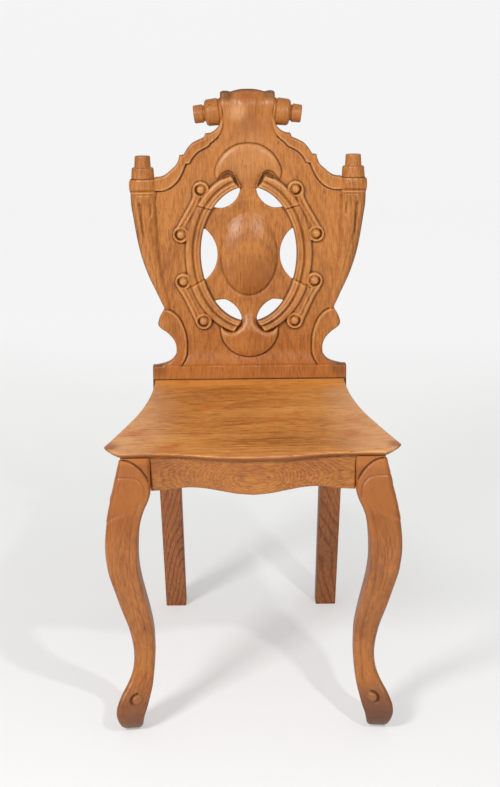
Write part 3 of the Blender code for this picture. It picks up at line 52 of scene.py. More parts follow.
# Height in millimetres that a carved form gets where it isn't, so that the highest form hides it
AWAY = -30.0
# Distance in millimetres that is beyond the edge of every board
BEYOND = 1000.0

Array = np.ndarray
Pair = tuple[float, float]
Triple = tuple[float, float, float]
Pairs = tuple[Pair, ...]
Triples = tuple[Triple, ...]
Field = Callable[[Array, Array], Array]
Piece = bpy.types.Object
Material = bpy.types.Material
Tree = bpy.types.NodeTree
Node = bpy.types.Node
Socket = bpy.types.NodeSocket


# Plane geometry


def arc(start: Pair, end: Pair, bulge: float, steps: int = 14) -> Array:
    """Points of a circular arc, without its first one.

    Args:
        start: Where the arc starts.
        end: Where it ends.
        bulge: Its rise to the right of travel, as a share of the chord.
        steps: How many points it gets.

    Returns:
        Rows of x and y.
    """
    a, b = np.array(start, float), np.array(end, float)
    share = np.linspace(0, 1, steps + 1)[1:, None]
    if bulge == 0:
        return a + (b - a) * share
    chord = float(np.hypot(*(b - a)))
    rise = bulge * chord
    radius = (chord**2 / 4 + rise**2) / (2 * rise)
    right = np.array([b[1] - a[1], a[0] - b[0]]) / chord
    centre = (a + b) / 2 + right * (rise - radius)
    angle = math.atan2(*(a - centre)[::-1]) + 4 * math.atan(2 * bulge) * share
    return centre + abs(radius) * np.concatenate([np.cos(angle), np.sin(angle)], 1)


def arcs(start: Pair, rows: Sequence[Triple], scale: Pair = (1, 1), origin: Pair = (0, 0)) -> Array:
    """Points along a chain of arcs.

    Args:
        start: First point, as shares of the scale.
        rows: End point shares and bulge of each arc.
        scale: Size that a share of 1 stands for, along x and y.
        origin: Point that the shares are measured from.

    Returns:
        Rows of x and y.
    """
    here = (origin[0] + start[0] * scale[0], origin[1] + start[1] * scale[1])
    parts = [np.array([here])]
    for x, y, bulge in rows:
        there = (origin[0] + x * scale[0], origin[1] + y * scale[1])
        parts.append(arc(here, there, bulge))
        here = there
    return np.concatenate(parts)


def flowing(points: Sequence[Pair], steps: int = 6) -> Array:
    """Smooth curve through points: a cubic between each two, with slopes taken from the neighbours."""
    p = np.array(points, float)
    p = np.concatenate([2 * p[:1] - p[1:2], p, 2 * p[-1:] - p[-2:-1]])
    t = np.linspace(0, 1, steps + 1)[:-1, None, None]
    a, b, c, d = p[:-3], p[1:-2], p[2:-1], p[3:]
    run = 0.5 * (2 * b + (c - a) * t + (2 * a - 5 * b + 4 * c - d) * t**2 + (3 * b - a - 3 * c + d) * t**3)
    return np.concatenate([run.transpose(1, 0, 2).reshape(-1, 2), p[-2:-1]])


def reach(line: Array, x: Array, y: Array) -> Array:
    """Distance from each point to the nearest place on an open line."""
    least = np.full(x.shape, np.inf)
    for (ax, ay), (bx, by) in zip(line[:-1], line[1:]):
        dx, dy = bx - ax, by - ay
        span = dx * dx + dy * dy
        if span < TINY**2:
            continue
        t = np.clip(((x - ax) * dx + (y - ay) * dy) / span, 0, 1)
        least = np.minimum(least, (x - ax - t * dx) ** 2 + (y - ay - t * dy) ** 2)
    return np.sqrt(least)


def enclosed(line: Array, x: Array, y: Array) -> Array:
    """Whether the way to the right of each point crosses the line an odd number of times."""
    inside = np.zeros(x.shape, bool)
    for (ax, ay), (bx, by) in zip(line[:-1], line[1:]):
        if ay != by:
            inside ^= ((ay > y) != (by > y)) & (x < ax + (y - ay) * (bx - ax) / (by - ay))
    return inside


def depth_in(line: Array, x: Array, y: Array) -> Array:
    """Distance into a figure, below zero outside it.

    The figure's right half is bounded by the line and by the axis x = 0, and its left half mirrors it.
    """
    x = np.maximum(np.abs(x), TINY)
    return np.where(enclosed(line, x, y), 1, -1) * reach(line, x, y)


def depth_closed(line: Array, x: Array, y: Array) -> Array:
    """Distance into a closed figure, below zero outside it."""
    ring = np.concatenate([line, line[:1]])
    return np.where(enclosed(ring, x, y), 1, -1) * reach(ring, x, y)


def depth_oval(half: Pair, centre: Pair, x: Array, y: Array) -> Array:
    """Distance into an ellipse: how far its own coordinate is from one, over that coordinate's slope."""
    dx, dy = x - centre[0], y - centre[1]
    q = np.maximum(np.hypot(dx / half[0], dy / half[1]), TINY)
    slope = np.hypot(dx / half[0] ** 2, dy / half[1] ** 2) / q
    return (1 - q) / np.maximum(slope, 1e-9)


def side_of(a: Pair, b: Pair, x: Array, y: Array) -> Array:
    """Distance to the left of the line from a to b."""
    dx, dy = b[0] - a[0], b[1] - a[1]
    return (dx * (y - a[1]) - dy * (x - a[0])) / math.hypot(dx, dy)


def ease(low: float, high: float, value: Array) -> Array:
    """Zero below low, one above high and an S between them; high may be the smaller one."""
    t = np.clip((value - low) / (high - low), 0, 1)
    return t * t * (3 - 2 * t)


def bump(value: Array, width: float) -> Array:
    """Bell of height one round zero."""
    return np.exp(-((value / width) ** 2))


def soft_max(a: Array, b: Array, span: Array | float) -> Array:
    """Greater of two fields, with their meeting line rounded over about the given height."""
    h = np.clip(0.5 + 0.5 * (a - b) / span, 0, 1)
    return b + (a - b) * h + span * h * (1 - h)


def half_round(value: Array, radius: Array | float) -> Array:
    """Height of a half-round bead of a radius, as a share of it, at a distance from its middle line."""
    return np.sqrt(np.clip(1 - (value / radius) ** 2, 0, 1))


def edge_drop(rim: Array, radius: Array | float) -> Array:
    """Drop of a rounded edge, as a share of its radius, at a distance in from the rim."""
    return 1 - half_round(np.clip(radius - rim, 0, radius), radius)


def graph(rows: Sequence[Pair], value: Array) -> Array:
    """Second coordinate, at each value of the first, of the smooth curve through some points."""
    line = flowing(rows)
    return np.interp(value, line[:, 0], line[:, 1])


# Surfaces


@dataclass(frozen=True)
class Bench:
    """Plane that a piece is drawn on, in the chair's frame: an origin in metres and three directions."""

    origin: Triple
    across: Triple
    up: Triple
    out: Triple

    def place(self, x: Array, y: Array, z: Array) -> Array:
        """Points in metres of a drawing in millimetres: origin plus x across, y up and z out."""
        axes = np.array([self.across, self.up, self.out])
        return np.array(self.origin) + np.stack([x, y, z], -1) * MM @ axes


RAKE = math.radians(4.5)
BACK_BENCH = Bench(
    (0.0, 0.133, 0.450),
    (1.0, 0.0, 0.0),
    (0.0, math.sin(RAKE), math.cos(RAKE)),
    (0.0, -math.cos(RAKE), math.sin(RAKE)),
)
SEAT_BENCH = Bench((0.0, 0.0, 0.450), (1.0, 0.0, 0.0), (0.0, 1.0, 0.0), (0.0, 0.0, 1.0))
APRON_BENCH = Bench((0.0, -0.230, 0.0), (1.0, 0.0, 0.0), (0.0, 0.0, 1.0), (0.0, -1.0, 0.0))


def cells(rows: int, columns: int) -> Array:
    """Point numbers at the corners of each cell of a grid of points."""
    index = np.arange(rows * columns).reshape(rows, columns)
    return np.stack([index[:-1, :-1], index[:-1, 1:], index[1:, 1:], index[1:, :-1]], -1).reshape(-1, 4)


def make_object(
    name: str, points: Array, faces: Sequence[Array], hollow: Array, crease: float, grain: Array | None = None
) -> Piece:
    """Mesh object in the chair's frame.

    Args:
        name: Its name.
        points: Vertices in metres.
        faces: Arrays of vertex numbers, one array for each face size.
        hollow: For each vertex, how far it is sunk (above zero) or raised, as a share.
        crease: Angle in degrees above which an edge is sharp.
        grain: For each vertex, its place in the plank as the grain sees it; its own place if not given.

    Returns:
        The new object, linked into the scene.
    """
    mesh = bpy.data.meshes.new(name)
    corners = np.concatenate([f.ravel() for f in faces]).astype(np.int32)
    sizes = np.concatenate([np.full(len(f), f.shape[1]) for f in faces])
    starts = np.concatenate([[0], np.cumsum(sizes)[:-1]]).astype(np.int32)
    mesh.vertices.add(len(points))
    mesh.vertices.foreach_set("co", points.astype(np.float32).ravel())
    mesh.loops.add(len(corners))
    mesh.loops.foreach_set("vertex_index", corners)
    mesh.polygons.add(len(sizes))
    mesh.polygons.foreach_set("loop_start", starts)
    mesh.update(calc_edges=True)
    mesh.validate()
    mesh.set_sharp_from_angle(angle=math.radians(crease))
    layer = mesh.attributes.new("hollow", "FLOAT", "POINT")
    layer.data.foreach_set("value", np.clip(hollow, -1, 1).astype(np.float32))
    layer = mesh.attributes.new("grain", "FLOAT_VECTOR", "POINT")
    seen = points if grain is None else grain
    layer.data.foreach_set("vector", seen.astype(np.float32).ravel())
    made = bpy.data.objects.new(name, mesh)
    bpy.context.scene.collection.objects.link(made)
    return made


@dataclass(frozen=True)
class Share:
    """Piece of a cut board: its name, the plain piece that it stands for and its reach on the plane."""

    name: str
    node: str
    low: Pair
    high: Pair


@dataclass(frozen=True)
class CutBoard:
    """Board sawn to an outline, with a carved face and a back, as a grid over the plane.

    Grid points within half a step of the outline are moved onto it along the depth's slope, cells
    with three or four points inside become faces, and a wall joins the two sides along the rim.
    """

    bench: Bench
    low: Pair
    step: float
    counts: tuple[int, int]
    cut: Field
    face: Field
    back: Field
    floor: float = -1.0
    spread: float = 3.0
    grain_depth: float = 0.3
    sunk_range: float = 3.0
    probes_per_step: float = 20.0
    least_slope: float = 0.25
    move_share: float = 0.6
    crease: float = 52.0

    def onto_rim(self, x: Array, y: Array) -> tuple[Array, Array, Array]:
        """Moves the grid points that are near the outline onto it, and says which points are kept."""
        depth = self.cut(x, y)
        kept = depth > -self.step / 2
        near = np.flatnonzero(np.abs(depth) <= self.step / 2)
        px, py, e = x[near], y[near], self.step / self.probes_per_step
        for _ in range(3):
            here = self.cut(px, py)
            gx = (self.cut(px + e, py) - self.cut(px - e, py)) / (2 * e)
            gy = (self.cut(px, py + e) - self.cut(px, py - e)) / (2 * e)
            length = np.maximum(gx * gx + gy * gy, self.least_slope)
            px, py = px - here * gx / length, py - here * gy / length
        limit = self.move_share * self.step
        x, y = x.copy(), y.copy()
        x[near] += np.clip(px - x[near], -limit, limit)
        y[near] += np.clip(py - y[near], -limit, limit)
        return x, y, kept

    def sunk(self, height: Array, kept: Array) -> Array:
        """How far each point lies below its surroundings: a blurred copy of the height less the height."""
        rows, columns = self.counts[1], self.counts[0]
        fy, fx = np.fft.fftfreq(rows)[:, None], np.fft.rfftfreq(columns)[None]
        kernel = np.exp(-2 * (math.pi * self.spread / self.step) ** 2 * (fx * fx + fy * fy))
        mask = kept.reshape(rows, columns).astype(float)

        def smooth(g: Array) -> Array:
            """Blurs a grid with a bell."""
            return np.fft.irfft2(np.fft.rfft2(g) * kernel, g.shape)

        mean = smooth(height.reshape(rows, columns) * mask) / np.maximum(smooth(mask), 1e-3)
        return (mean.ravel() - height) / self.sunk_range

    def build(self, shares: Sequence[Share]) -> list[Piece]:
        """Makes the pieces.

        Args:
            shares: The pieces that the board is made of.

        Returns:
            One object for each share.
        """
        columns, rows = self.counts
        xs = self.low[0] + self.step * np.arange(columns)
        ys = self.low[1] + self.step * np.arange(rows)
        gx, gy = (g.ravel() for g in np.meshgrid(xs, ys))
        x, y, kept = self.onto_rim(gx, gy)
        top, bottom = self.face(x, y), self.back(x, y)
        hollow = self.sunk(top, kept)
        total = columns * rows
        cell = cells(rows, columns)
        middle = gx[cell].mean(1), gy[cell].mean(1)
        full = kept[cell]
        made = []
        for share in shares:
            mine = (middle[0] > share.low[0]) & (middle[0] < share.high[0])
            mine &= (middle[1] > share.low[1]) & (middle[1] < share.high[1])
            quads = cell[mine & full.all(1)]
            cut_off = [mine & ~full[:, k] & (full.sum(1) == 3) for k in range(4)]
            triangles = np.concatenate([np.delete(cell[lost], k, axis=1) for k, lost in enumerate(cut_off)])
            edges = np.concatenate(
                [f[:, [k, (k + 1) % n]] for f, n in ((quads, 4), (triangles, 3)) for k in range(n)]
            )
            rim = edges[~np.isin(edges @ np.array([total, 1]), edges @ np.array([1, total]))]
            used = np.unique(np.concatenate([quads.ravel(), triangles.ravel()]))
            place = np.zeros(total, np.int64)
            place[used] = np.arange(len(used))
            n = len(used)
            q, t, r = place[quads], place[triangles], place[rim]
            walls = np.stack([r[:, 1], r[:, 0], r[:, 0] + n, r[:, 1] + n], 1)
            sides = [q, q[:, ::-1] + n, walls, t, t[:, ::-1] + n]
            px, py = np.tile(x[used], 2), np.tile(y[used], 2)
            points = self.bench.place(px, py, np.concatenate([top[used], bottom[used]]))
            points[:, 2] = np.maximum(points[:, 2], self.floor)
            grain = self.bench.place(px, py, np.concatenate([top[used] * self.grain_depth, bottom[used]]))
            values = np.concatenate([hollow[used], np.zeros(n)])
            piece = make_object(share.name, points, [s for s in sides if len(s)], values, self.crease, grain)
            made.append(finish_piece(piece, share.node))
        return made


def finish_piece(piece: Piece, node: str) -> Piece:
    """Makes a piece move with the chair and stand for its plain piece, and reports it."""
    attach(piece, "root")
    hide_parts(node)
    LOG.info("%s: %d faces", piece.name, len(piece.data.polygons))
    return piece


def skin(
    name: str, rows: Array, hollow: Array, node: str, crease: float = 40, grain: Array | None = None
) -> Piece:
    """Closed skin over rings of points, with its two ends closed by fans.

    Args:
        name: The piece's name.
        rows: Array of rings, points round each ring, and x, y, z in metres; a ring runs anticlockwise
            as seen from the last ring's side.
        hollow: How far each point is sunk.
        node: The plain piece that it stands for.
        crease: Angle in degrees above which an edge is sharp.
        grain: Like the rings, each point's place as the grain sees it.

    Returns:
        The piece.
    """
    count, around = rows.shape[:2]
    index = np.arange(count * around).reshape(count, around)
    turned = np.roll(index, -1, axis=1)
    quads = np.stack([index[:-1], turned[:-1], turned[1:], index[1:]], -1).reshape(-1, 4)
    ends = count * around + np.arange(2)
    first = np.stack([turned[0], index[0], np.full(around, ends[0])], 1)
    last = np.stack([index[-1], turned[-1], np.full(around, ends[1])], 1)
    points, seen = (
        np.concatenate([g.reshape(-1, 3), g[0].mean(0)[None], g[-1].mean(0)[None]])
        for g in (rows, rows if grain is None else grain)
    )
    values = np.concatenate([hollow.ravel(), [0.0, 0.0]])
    caps = np.concatenate([first, last])
    return finish_piece(make_object(name, points, [quads, caps], values, crease, seen), node)


def softened(profile: Sequence[Pair], size: float, steps: int = 4) -> Array:
    """Profile with each corner replaced by a small curve that starts and ends a set length from it."""
    p = np.array(profile, float)
    parts = [p[:1]]
    t = np.linspace(0, 1, steps + 1)[:, None]
    for before, here, after in zip(p[:-2], p[1:-1], p[2:]):
        a, b = before - here, after - here
        la, lb = max(float(np.hypot(*a)), TINY), max(float(np.hypot(*b)), TINY)
        a, b = here + a * min(size / la, 0.45), here + b * min(size / lb, 0.45)
        parts.append((1 - t) ** 2 * a + 2 * t * (1 - t) * here + t**2 * b)
    parts.append(p[-1:])
    return np.concatenate(parts)


@dataclass(frozen=True)
class Turning:
    """Piece turned on the lathe: a profile carried round an axis on the back's plane."""

    name: str
    node: str
    start: Triple
    along: Triple
    profile: Pairs
    softness: float
    sides: int = 96
    sunk_range: float = 1.5

    def build(self) -> Piece:
        """Point = start + along times distance + radius times (cos angle, sin angle) across the axis."""
        line = softened(self.profile, self.softness)
        dense = np.linspace(0, len(line) - 1, (len(line) - 1) * 3 + 1)
        s, r = (np.interp(dense, np.arange(len(line)), line[:, k]) for k in (0, 1))
        axis = np.array(self.along) / np.linalg.norm(self.along)
        one = np.cross(axis, [0.0, 0.0, 1.0])
        one = one / np.linalg.norm(one)
        two = np.cross(axis, one)
        angle = np.linspace(0, 2 * math.pi, self.sides, endpoint=False)
        round_ = np.cos(angle)[:, None] * one + np.sin(angle)[:, None] * two
        points = np.array(self.start) + s[:, None, None] * axis + r[:, None, None] * round_[None]
        placed = BACK_BENCH.place(points[..., 0], points[..., 1], points[..., 2])
        mean = np.convolve(np.pad(r, 4, mode="edge"), np.ones(9) / 9, mode="valid")
        hollow = np.repeat(((mean - r) / self.sunk_range)[:, None], self.sides, 1)
        return skin(self.name, placed, hollow, self.node)


@dataclass(frozen=True)
class SquareSection:
    """Square section with round corners, as points that each lie on a side or a corner."""

    along_side: int
    along_corner: int

    def points(self) -> tuple[Array, Array]:
        """Each point's corner, or place between two corners, and its outward direction."""
        corners = [(-1, -1), (1, -1), (1, 1), (-1, 1)]
        places, ways = [], []
        for k, corner in enumerate(corners):
            turn = math.radians(180 + 90 * k) + np.linspace(0, math.pi / 2, self.along_corner)
            places.append(np.repeat([corner], self.along_corner, 0).astype(float))
            ways.append(np.stack([np.cos(turn), np.sin(turn)], 1))
            after = np.array(corners[(k + 1) % 4], float)
            share = np.linspace(0, 1, self.along_side + 2)[1:-1, None]
            places.append(np.array(corner, float) * (1 - share) + after * share)
            ways.append(np.repeat(ways[-1][-1:], self.along_side, 0))
        return np.concatenate(places), np.concatenate(ways)


# Carved back


@dataclass(frozen=True)
class Flute:
    """Groove, or with a height above zero a swelling, that runs up the back and fades at both ends.

    Its middle line passes through across at the given level and leans by a share of the rise, and
    its width grows by swell[0] round the level swell[1], within about swell[2].
    """

    across: float
    level: float
    lean: float
    width: float
    fade_in: Pair
    fade_out: Pair
    height: float
    swell: Triple = (0.0, 0.0, 1.0)

    def field(self, x: Array, y: Array) -> Array:
        """Height = height times a bell across the middle line times the fades at its ends."""
        width = self.width + self.swell[0] * bump(y - self.swell[1], self.swell[2])
        bell = bump(x - (self.across + (y - self.level) * self.lean), width)
        return self.height * bell * ease(*self.fade_in, y) * ease(*self.fade_out, y)


@dataclass(frozen=True)
class CarvedBack:
    """Shield back: strip along the edge, horns, pierced ring with a dome, brackets, crescents and crest.

    Millimetres on the back's plane: x from the middle, y up from the seat, z out of the face.
    """

    step: float = 60 / 54
    half_columns: int = 174
    grid_foot: float = -18.4
    grid_top: float = 474.0
    seams: Pair = (-60.0, 60.0)
    thickness: float = 24.0
    ground: float = -5.0
    ring_centre: Pair = (0.0, 209.0)
    ring_inner: Pair = (78.7, 108.7)
    ring_width: float = 24.9
    ring_level: float = 2.2
    proud: float = 2.6
    dome_half: Pair = (47.0, 67.5)
    dome_height: float = 13.5
    dome_middle: float = 207.8
    foot: float = -18.1
    foot_band: float = 22.5
    head_foot: float = 303.0
    head_half: float = 21.9
    strip_foot: float = 311.8
    side_opening: Triple = (104.8, 207.8, 53.8)
    opening_play: float = 0.4
    lower_stretch: float = 4.5
    outer_oval: Pair = (103.6, 133.7)
    band_rounding: float = 5.5
    ring_groove: float = 1.9
    ring_cut_depth: float = 1.6
    rib_places: Pair = (3.7, 9.8)
    rib_halves: Pair = (3.9, 3.4)
    rib_height: float = 6.4
    web_share: float = 0.45
    coil_radius: float = 10.6
    coil_half: float = 3.6
    coil_height: float = 6.8
    coil_reach: float = 13.2
    button_radius: float = 7.8
    button_foot: float = 2.2
    button_height: float = 6.4
    eye_cut_depths: Pair = (0.3, 5.4)
    eye_cut_radius: float = 8.5
    eye_cut_width: float = 1.6
    horn_floor: float = -8.0
    horn_height: float = 15.0
    head_height: float = 17.5
    head_length: float = 28.0
    head_lines: Triples = ((1.6, 311.6, 1.2), (1.1, 305.4, 1.1))
    crescent_rounding: float = 13.0
    pelta_rounding: float = 11.0
    pelta_size: float = 47.4
    pelta_middle: float = 84.6
    chamfer: float = 12.0
    crest_half: float = 44.0
    neck_foot: float = 388.0
    crest_radius: float = 26.6
    crest_axis: Pair = (446.0, -20.0)
    post_across: float = 170.3
    flank: Pairs = (
        (190.6, 303), (189.6, 286.6), (186.6, 267.1), (183.6, 247.7), (180.2, 228.1), (175.8, 208.5),
        (169.8, 188.8), (162.3, 169), (153.1, 149.2), (144.1, 129.3), (139.4, 119.3),
    )
    ear: Pairs = (
        (139.4, 119.3), (141.7, 114.3), (147.4, 104.3), (150.3, 94.3), (148.6, 88.6), (143.2, 84.3),
        (135.7, 79.3), (126.2, 69.2), (121.6, 59.1), (120.7, 49), (122.8, 38.9), (132.6, 28.8),
        (150.8, 23.2), (160.5, 22.5),
    )
    brow: Pairs = (
        (150.9, 333.2), (143.5, 333.6), (137.1, 335.6), (130.8, 339.6), (125.5, 344.4), (119.8, 349.2),
        (115.8, 354), (113.2, 358.8), (111.6, 363),
    )
    shoulder: Pairs = (
        (104.6, 368.6), (101.4, 373.6), (98.6, 377.9), (94.8, 382.7), (89.7, 387.5), (81, 392),
        (71, 396.2),
    )
    neck: Pairs = ((61, 403.2), (54.1, 406.8), (49.2, 411.3), (46.1, 416), (44.4, 424), (44, 434))
    head: Pairs = (
        (190.6, 303), (190.2, 306), (190.4, 308.5), (192, 313), (192.5, 322), (192, 328.5), (190.4, 331),
        (151, 331.2),
    )
    horn_flutes: tuple[Flute, ...] = (
        Flute(173.2, 257.0, 0.085, 1.7, (200.0, 275.0), (297.0, 289.0), -4.6, (1.3, 284.0, 16.0)),
        Flute(146.0, 150.0, 0.27, 1.6, (150.0, 180.0), (258.0, 236.0), -1.4),
        Flute(158.2, 0.0, 0.0, 1.6, (268.0, 276.0), (294.0, 289.0), -2.6),
    )
    neck_folds: tuple[Flute, ...] = (
        Flute(19.5, 470.0, 0.08, 5.0, (404.0, 440.0), (474.0, 458.0), -1.7),
        Flute(-22.0, 470.0, -0.10, 4.6, (404.0, 430.0), (470.0, 450.0), -1.5),
        Flute(-7.0, 470.0, 0.0, 6.0, (404.0, 425.0), (468.0, 450.0), 0.5),
    )
    head_girth: Pairs = (
        (0, 0.80), (0.13, 0.87), (0.19, 0.95), (0.27, 0.94), (0.33, 0.86), (0.40, 0.93), (0.46, 0.98),
        (0.68, 1), (0.90, 0.99), (1, 0.93),
    )
    horn_girth: Pairs = ((112, 3.5), (140, 7), (190, 12.5), (250, 17.5), (300, 20))
    upper_corner: Triples = (
        (0.9, 1.2, 0), (0.171, 1.2, 0), (0.171, 0.938, 0), (0.534, 0.681, 0.15), (0.74, 0.695, 0.03),
    )
    lower_corner: Triples = (
        (0.9, -1.2, 0), (0.728, -0.716, 0), (0.498, -0.695, 0.03), (0.161, -0.963, 0.12), (0.161, -1.2, 0),
    )
    upper_joint: tuple[Pair, Pair] = ((83.4, 288.2), (55.1, 280.1))
    upper_stop: tuple[Pair, Pair] = ((26.2, 341.0), (14.8, 318.0))
    upper_end: tuple[Pair, Pair] = ((23.6, 342.6), (12.2, 319.6))
    lower_joint: tuple[Pair, Pair] = ((97.1, 152.8), (72.9, 166.1))
    lower_end: tuple[Pair, Pair] = ((28.1, 76.4), (16.4, 92.6))
    pelta: Triples = (
        (1, 0.05, 0.215), (0.95, 0.09, 0), (0.4, -0.02, -0.26), (0.23, 0.25, -0.08), (0.23, 0.74, 0),
    )
    first_tooth: Pairs = ((110.6, 368.4),)
    second_tooth: Pairs = ((68.6, 402.6),)
    strip_line: tuple[Pairs, ...] = (
        (
            (152, 311.8), (140, 312.4), (131.5, 314.8), (122, 320.4), (113.5, 329.2), (107.3, 340),
            (102.6, 351), (101.4, 355),
        ),
        ((94.6, 356.2), (90, 364.5), (82, 373.2), (74, 378.2), (66.8, 381.8), (63.6, 384.2)),
        ((60.2, 388.4), (53.6, 393.6), (46.4, 401.2), (41.6, 411), (39, 423), (38, 440)),
    )
    crest_profile: Pairs = (
        (0, 1), (11, 0.985), (20.5, 0.915), (26, 0.855), (29, 0.850), (32.2, 0.885), (37, 0.900),
        (41, 0.880), (44, 0.810),
    )
    ear_line: Pairs = (
        (114, 22), (107.9, 31.9), (104.1, 43.5), (103.4, 58.4), (104.6, 73.3), (108.6, 88), (115.5, 102.3),
        (124.6, 111.9), (139, 119.4),
    )
    crescent: Pairs = (
        (0, 303), (13.2, 304), (15.6, 317), (18.9, 330.2), (24.5, 339.4), (32.5, 343.6), (41.2, 339.4),
        (47.4, 331.4), (51, 328.6), (53.8, 336.1), (53, 346), (49.4, 355.9), (41.4, 368.1), (29.2, 378.6),
        (15, 385), (0, 386.8),
    )
    hook: Pairs = (
        (49, 329), (47, 332), (41.2, 339.4), (32.5, 343.6), (24.5, 339.4), (18.9, 330.2), (14.8, 318),
        (22, 324), (27, 334), (40, 330),
    )
    upper_eyes: tuple[Pair, Pair] = ((76.6, 313.2), (110.1, 240.8))
    upper_bracket: Pairs = (
        (64, 309), (66.8, 321), (76.6, 326.6), (87, 322), (90.6, 312), (90.4, 302.5), (95.6, 290.5),
        (103.4, 276.8), (110.8, 264), (116.6, 254), (122.2, 244.5), (121.4, 234.4), (112.1, 228.2),
        (101.5, 232),
    )
    lower_eyes: tuple[Pair, Pair] = ((107.5, 163.7), (74.7, 97.6))
    lower_bracket: Pairs = (
        (97.5, 172.5), (107, 177.4), (116, 174), (120.4, 164), (117.3, 152.8), (109.6, 140.6),
        (103.3, 128.3), (96.6, 114), (91, 101.5), (86, 91), (74.9, 84.6), (64.4, 88.6), (61.4, 98.5),
    )

    def crest_rise(self, x: Array) -> Array:
        """Radius of the rolled crest at a distance from the middle: a curve through its profile."""
        return self.crest_radius * graph(self.crest_profile, np.abs(x))

    def outline(self) -> Array:
        """Right half of the shield, from the foot round to the top of the crest."""
        across = np.linspace(self.crest_half, 0, 45)
        over = np.stack([across, self.crest_axis[0] + self.crest_rise(across)], -1)
        foot = np.array([(0.0, self.foot), (self.ear[-1][0], self.foot)])
        horn = [flowing(self.ear[::-1]), flowing(self.flank[::-1])[1:], np.array(self.head)]
        brow = [flowing(self.brow), np.array(self.first_tooth)]
        neck = [flowing(self.shoulder), np.array(self.second_tooth), flowing(self.neck)]
        return np.concatenate([foot, *horn, *brow, *neck, over])

    def openings(self, x: Array, y: Array) -> Array:
        """Distance into the nearest of the six openings."""
        a = np.abs(x)
        inner = self.in_oval(a, y) - self.opening_play
        across, height, radius = self.side_opening
        side = radius - np.hypot(a - across, y - height)
        upper, lower = (
            depth_closed(arcs(rows[0][:2], rows[1:], self.ring_inner, self.ring_centre), a, y)
            for rows in (self.upper_corner, self.lower_corner)
        )
        return np.minimum(inner, np.maximum(np.maximum(side, upper), lower))

    def in_oval(self, a: Array, y: Array) -> Array:
        """Distance into the ring's inner ellipse, which is drawn a little longer downwards."""
        upper = depth_oval(self.ring_inner, self.ring_centre, a, y)
        longer = (self.ring_inner[0], self.ring_inner[1] + self.lower_stretch)
        return np.where(y > self.ring_centre[1], upper, depth_oval(longer, self.ring_centre, a, y))

    def cut(self, x: Array, y: Array) -> Array:
        """Distance into the wood: into the shield and out of the openings."""
        return np.minimum(depth_in(self.outline(), x, y), -self.openings(x, y))

    def horns(self, a: Array, y: Array) -> Array:
        """Rolled edge that swells upwards, with its flutes and the banded head on it."""
        flank = np.concatenate([flowing(self.flank[::-1]), [(191.5, 312.0), (192.0, 345.0)]])
        rim = reach(flank, a, y)
        girth = np.interp(y, *np.array(self.horn_girth).T)
        swell = (girth / self.horn_girth[-1][1]) ** 0.8
        roll = self.horn_floor + self.horn_height * swell * half_round(rim - girth, girth * 1.02)
        roll = np.where((rim < 2 * girth) & (y < 309) & (y > 116), roll, AWAY)
        roll = roll + sum(flute.field(a, y) for flute in self.horn_flutes)
        beyond = a - self.post_across
        girth = np.interp((y - self.head_foot) / self.head_length, *np.array(self.head_girth).T)
        head = self.horn_floor + self.head_height * girth * half_round(beyond, self.head_half)
        head = np.where((y > self.head_foot) & (np.abs(beyond) < self.head_half - 0.1), head, AWAY)
        lines = sum(depth * bump(y - level, width) for depth, level, width in self.head_lines)
        return soft_max(roll, head, 1.5) - lines * ease(128, 150, a)

    def ring(self, a: Array, y: Array) -> Array:
        """Two half-round bands, with raised lengths above and below whose ends are cut square."""
        wide, rounding = self.ring_width, self.band_rounding
        t = -self.in_oval(a, y)
        outer = depth_oval(self.outer_oval, self.ring_centre, a, y)
        t = np.where(t > 0, wide * t / np.maximum(t + outer, 1), t)
        edge = half_round(np.clip(rounding - np.minimum(t, wide - t), 0, rounding), rounding + 0.1) ** 0.8
        fall = 0.50 * bump(t - wide / 2, self.ring_groove) + 0.22 * bump(t - wide * 0.21, 1.3)
        bands = self.ground + (self.ring_level - self.ground) * edge * (1 - fall)
        high, low = y > 250, y < 180
        upper = np.minimum(-side_of(*self.upper_joint, a, y), side_of(*self.upper_stop, a, y))
        lower = np.minimum(side_of(*self.lower_joint, a, y), -side_of(*self.lower_end, a, y))
        upper, lower = np.where(high, upper, -9), np.where(low, lower, -9)
        bands = bands + self.proud * np.maximum(ease(-0.6, 0.6, upper), ease(-0.6, 0.6, lower))
        cuts = bump(np.minimum(np.abs(upper + 1), np.abs(lower + 1)), 1.1)
        bands = bands - self.ring_cut_depth * cuts * (bands > self.ground + 1)
        gone = (side_of(*self.upper_end, a, y) < 0) & high
        gone |= (side_of(*self.lower_end, a, y) > 0) & (y < 150)
        return np.where((t > 0) & (t < wide) & ~gone, bands, AWAY)

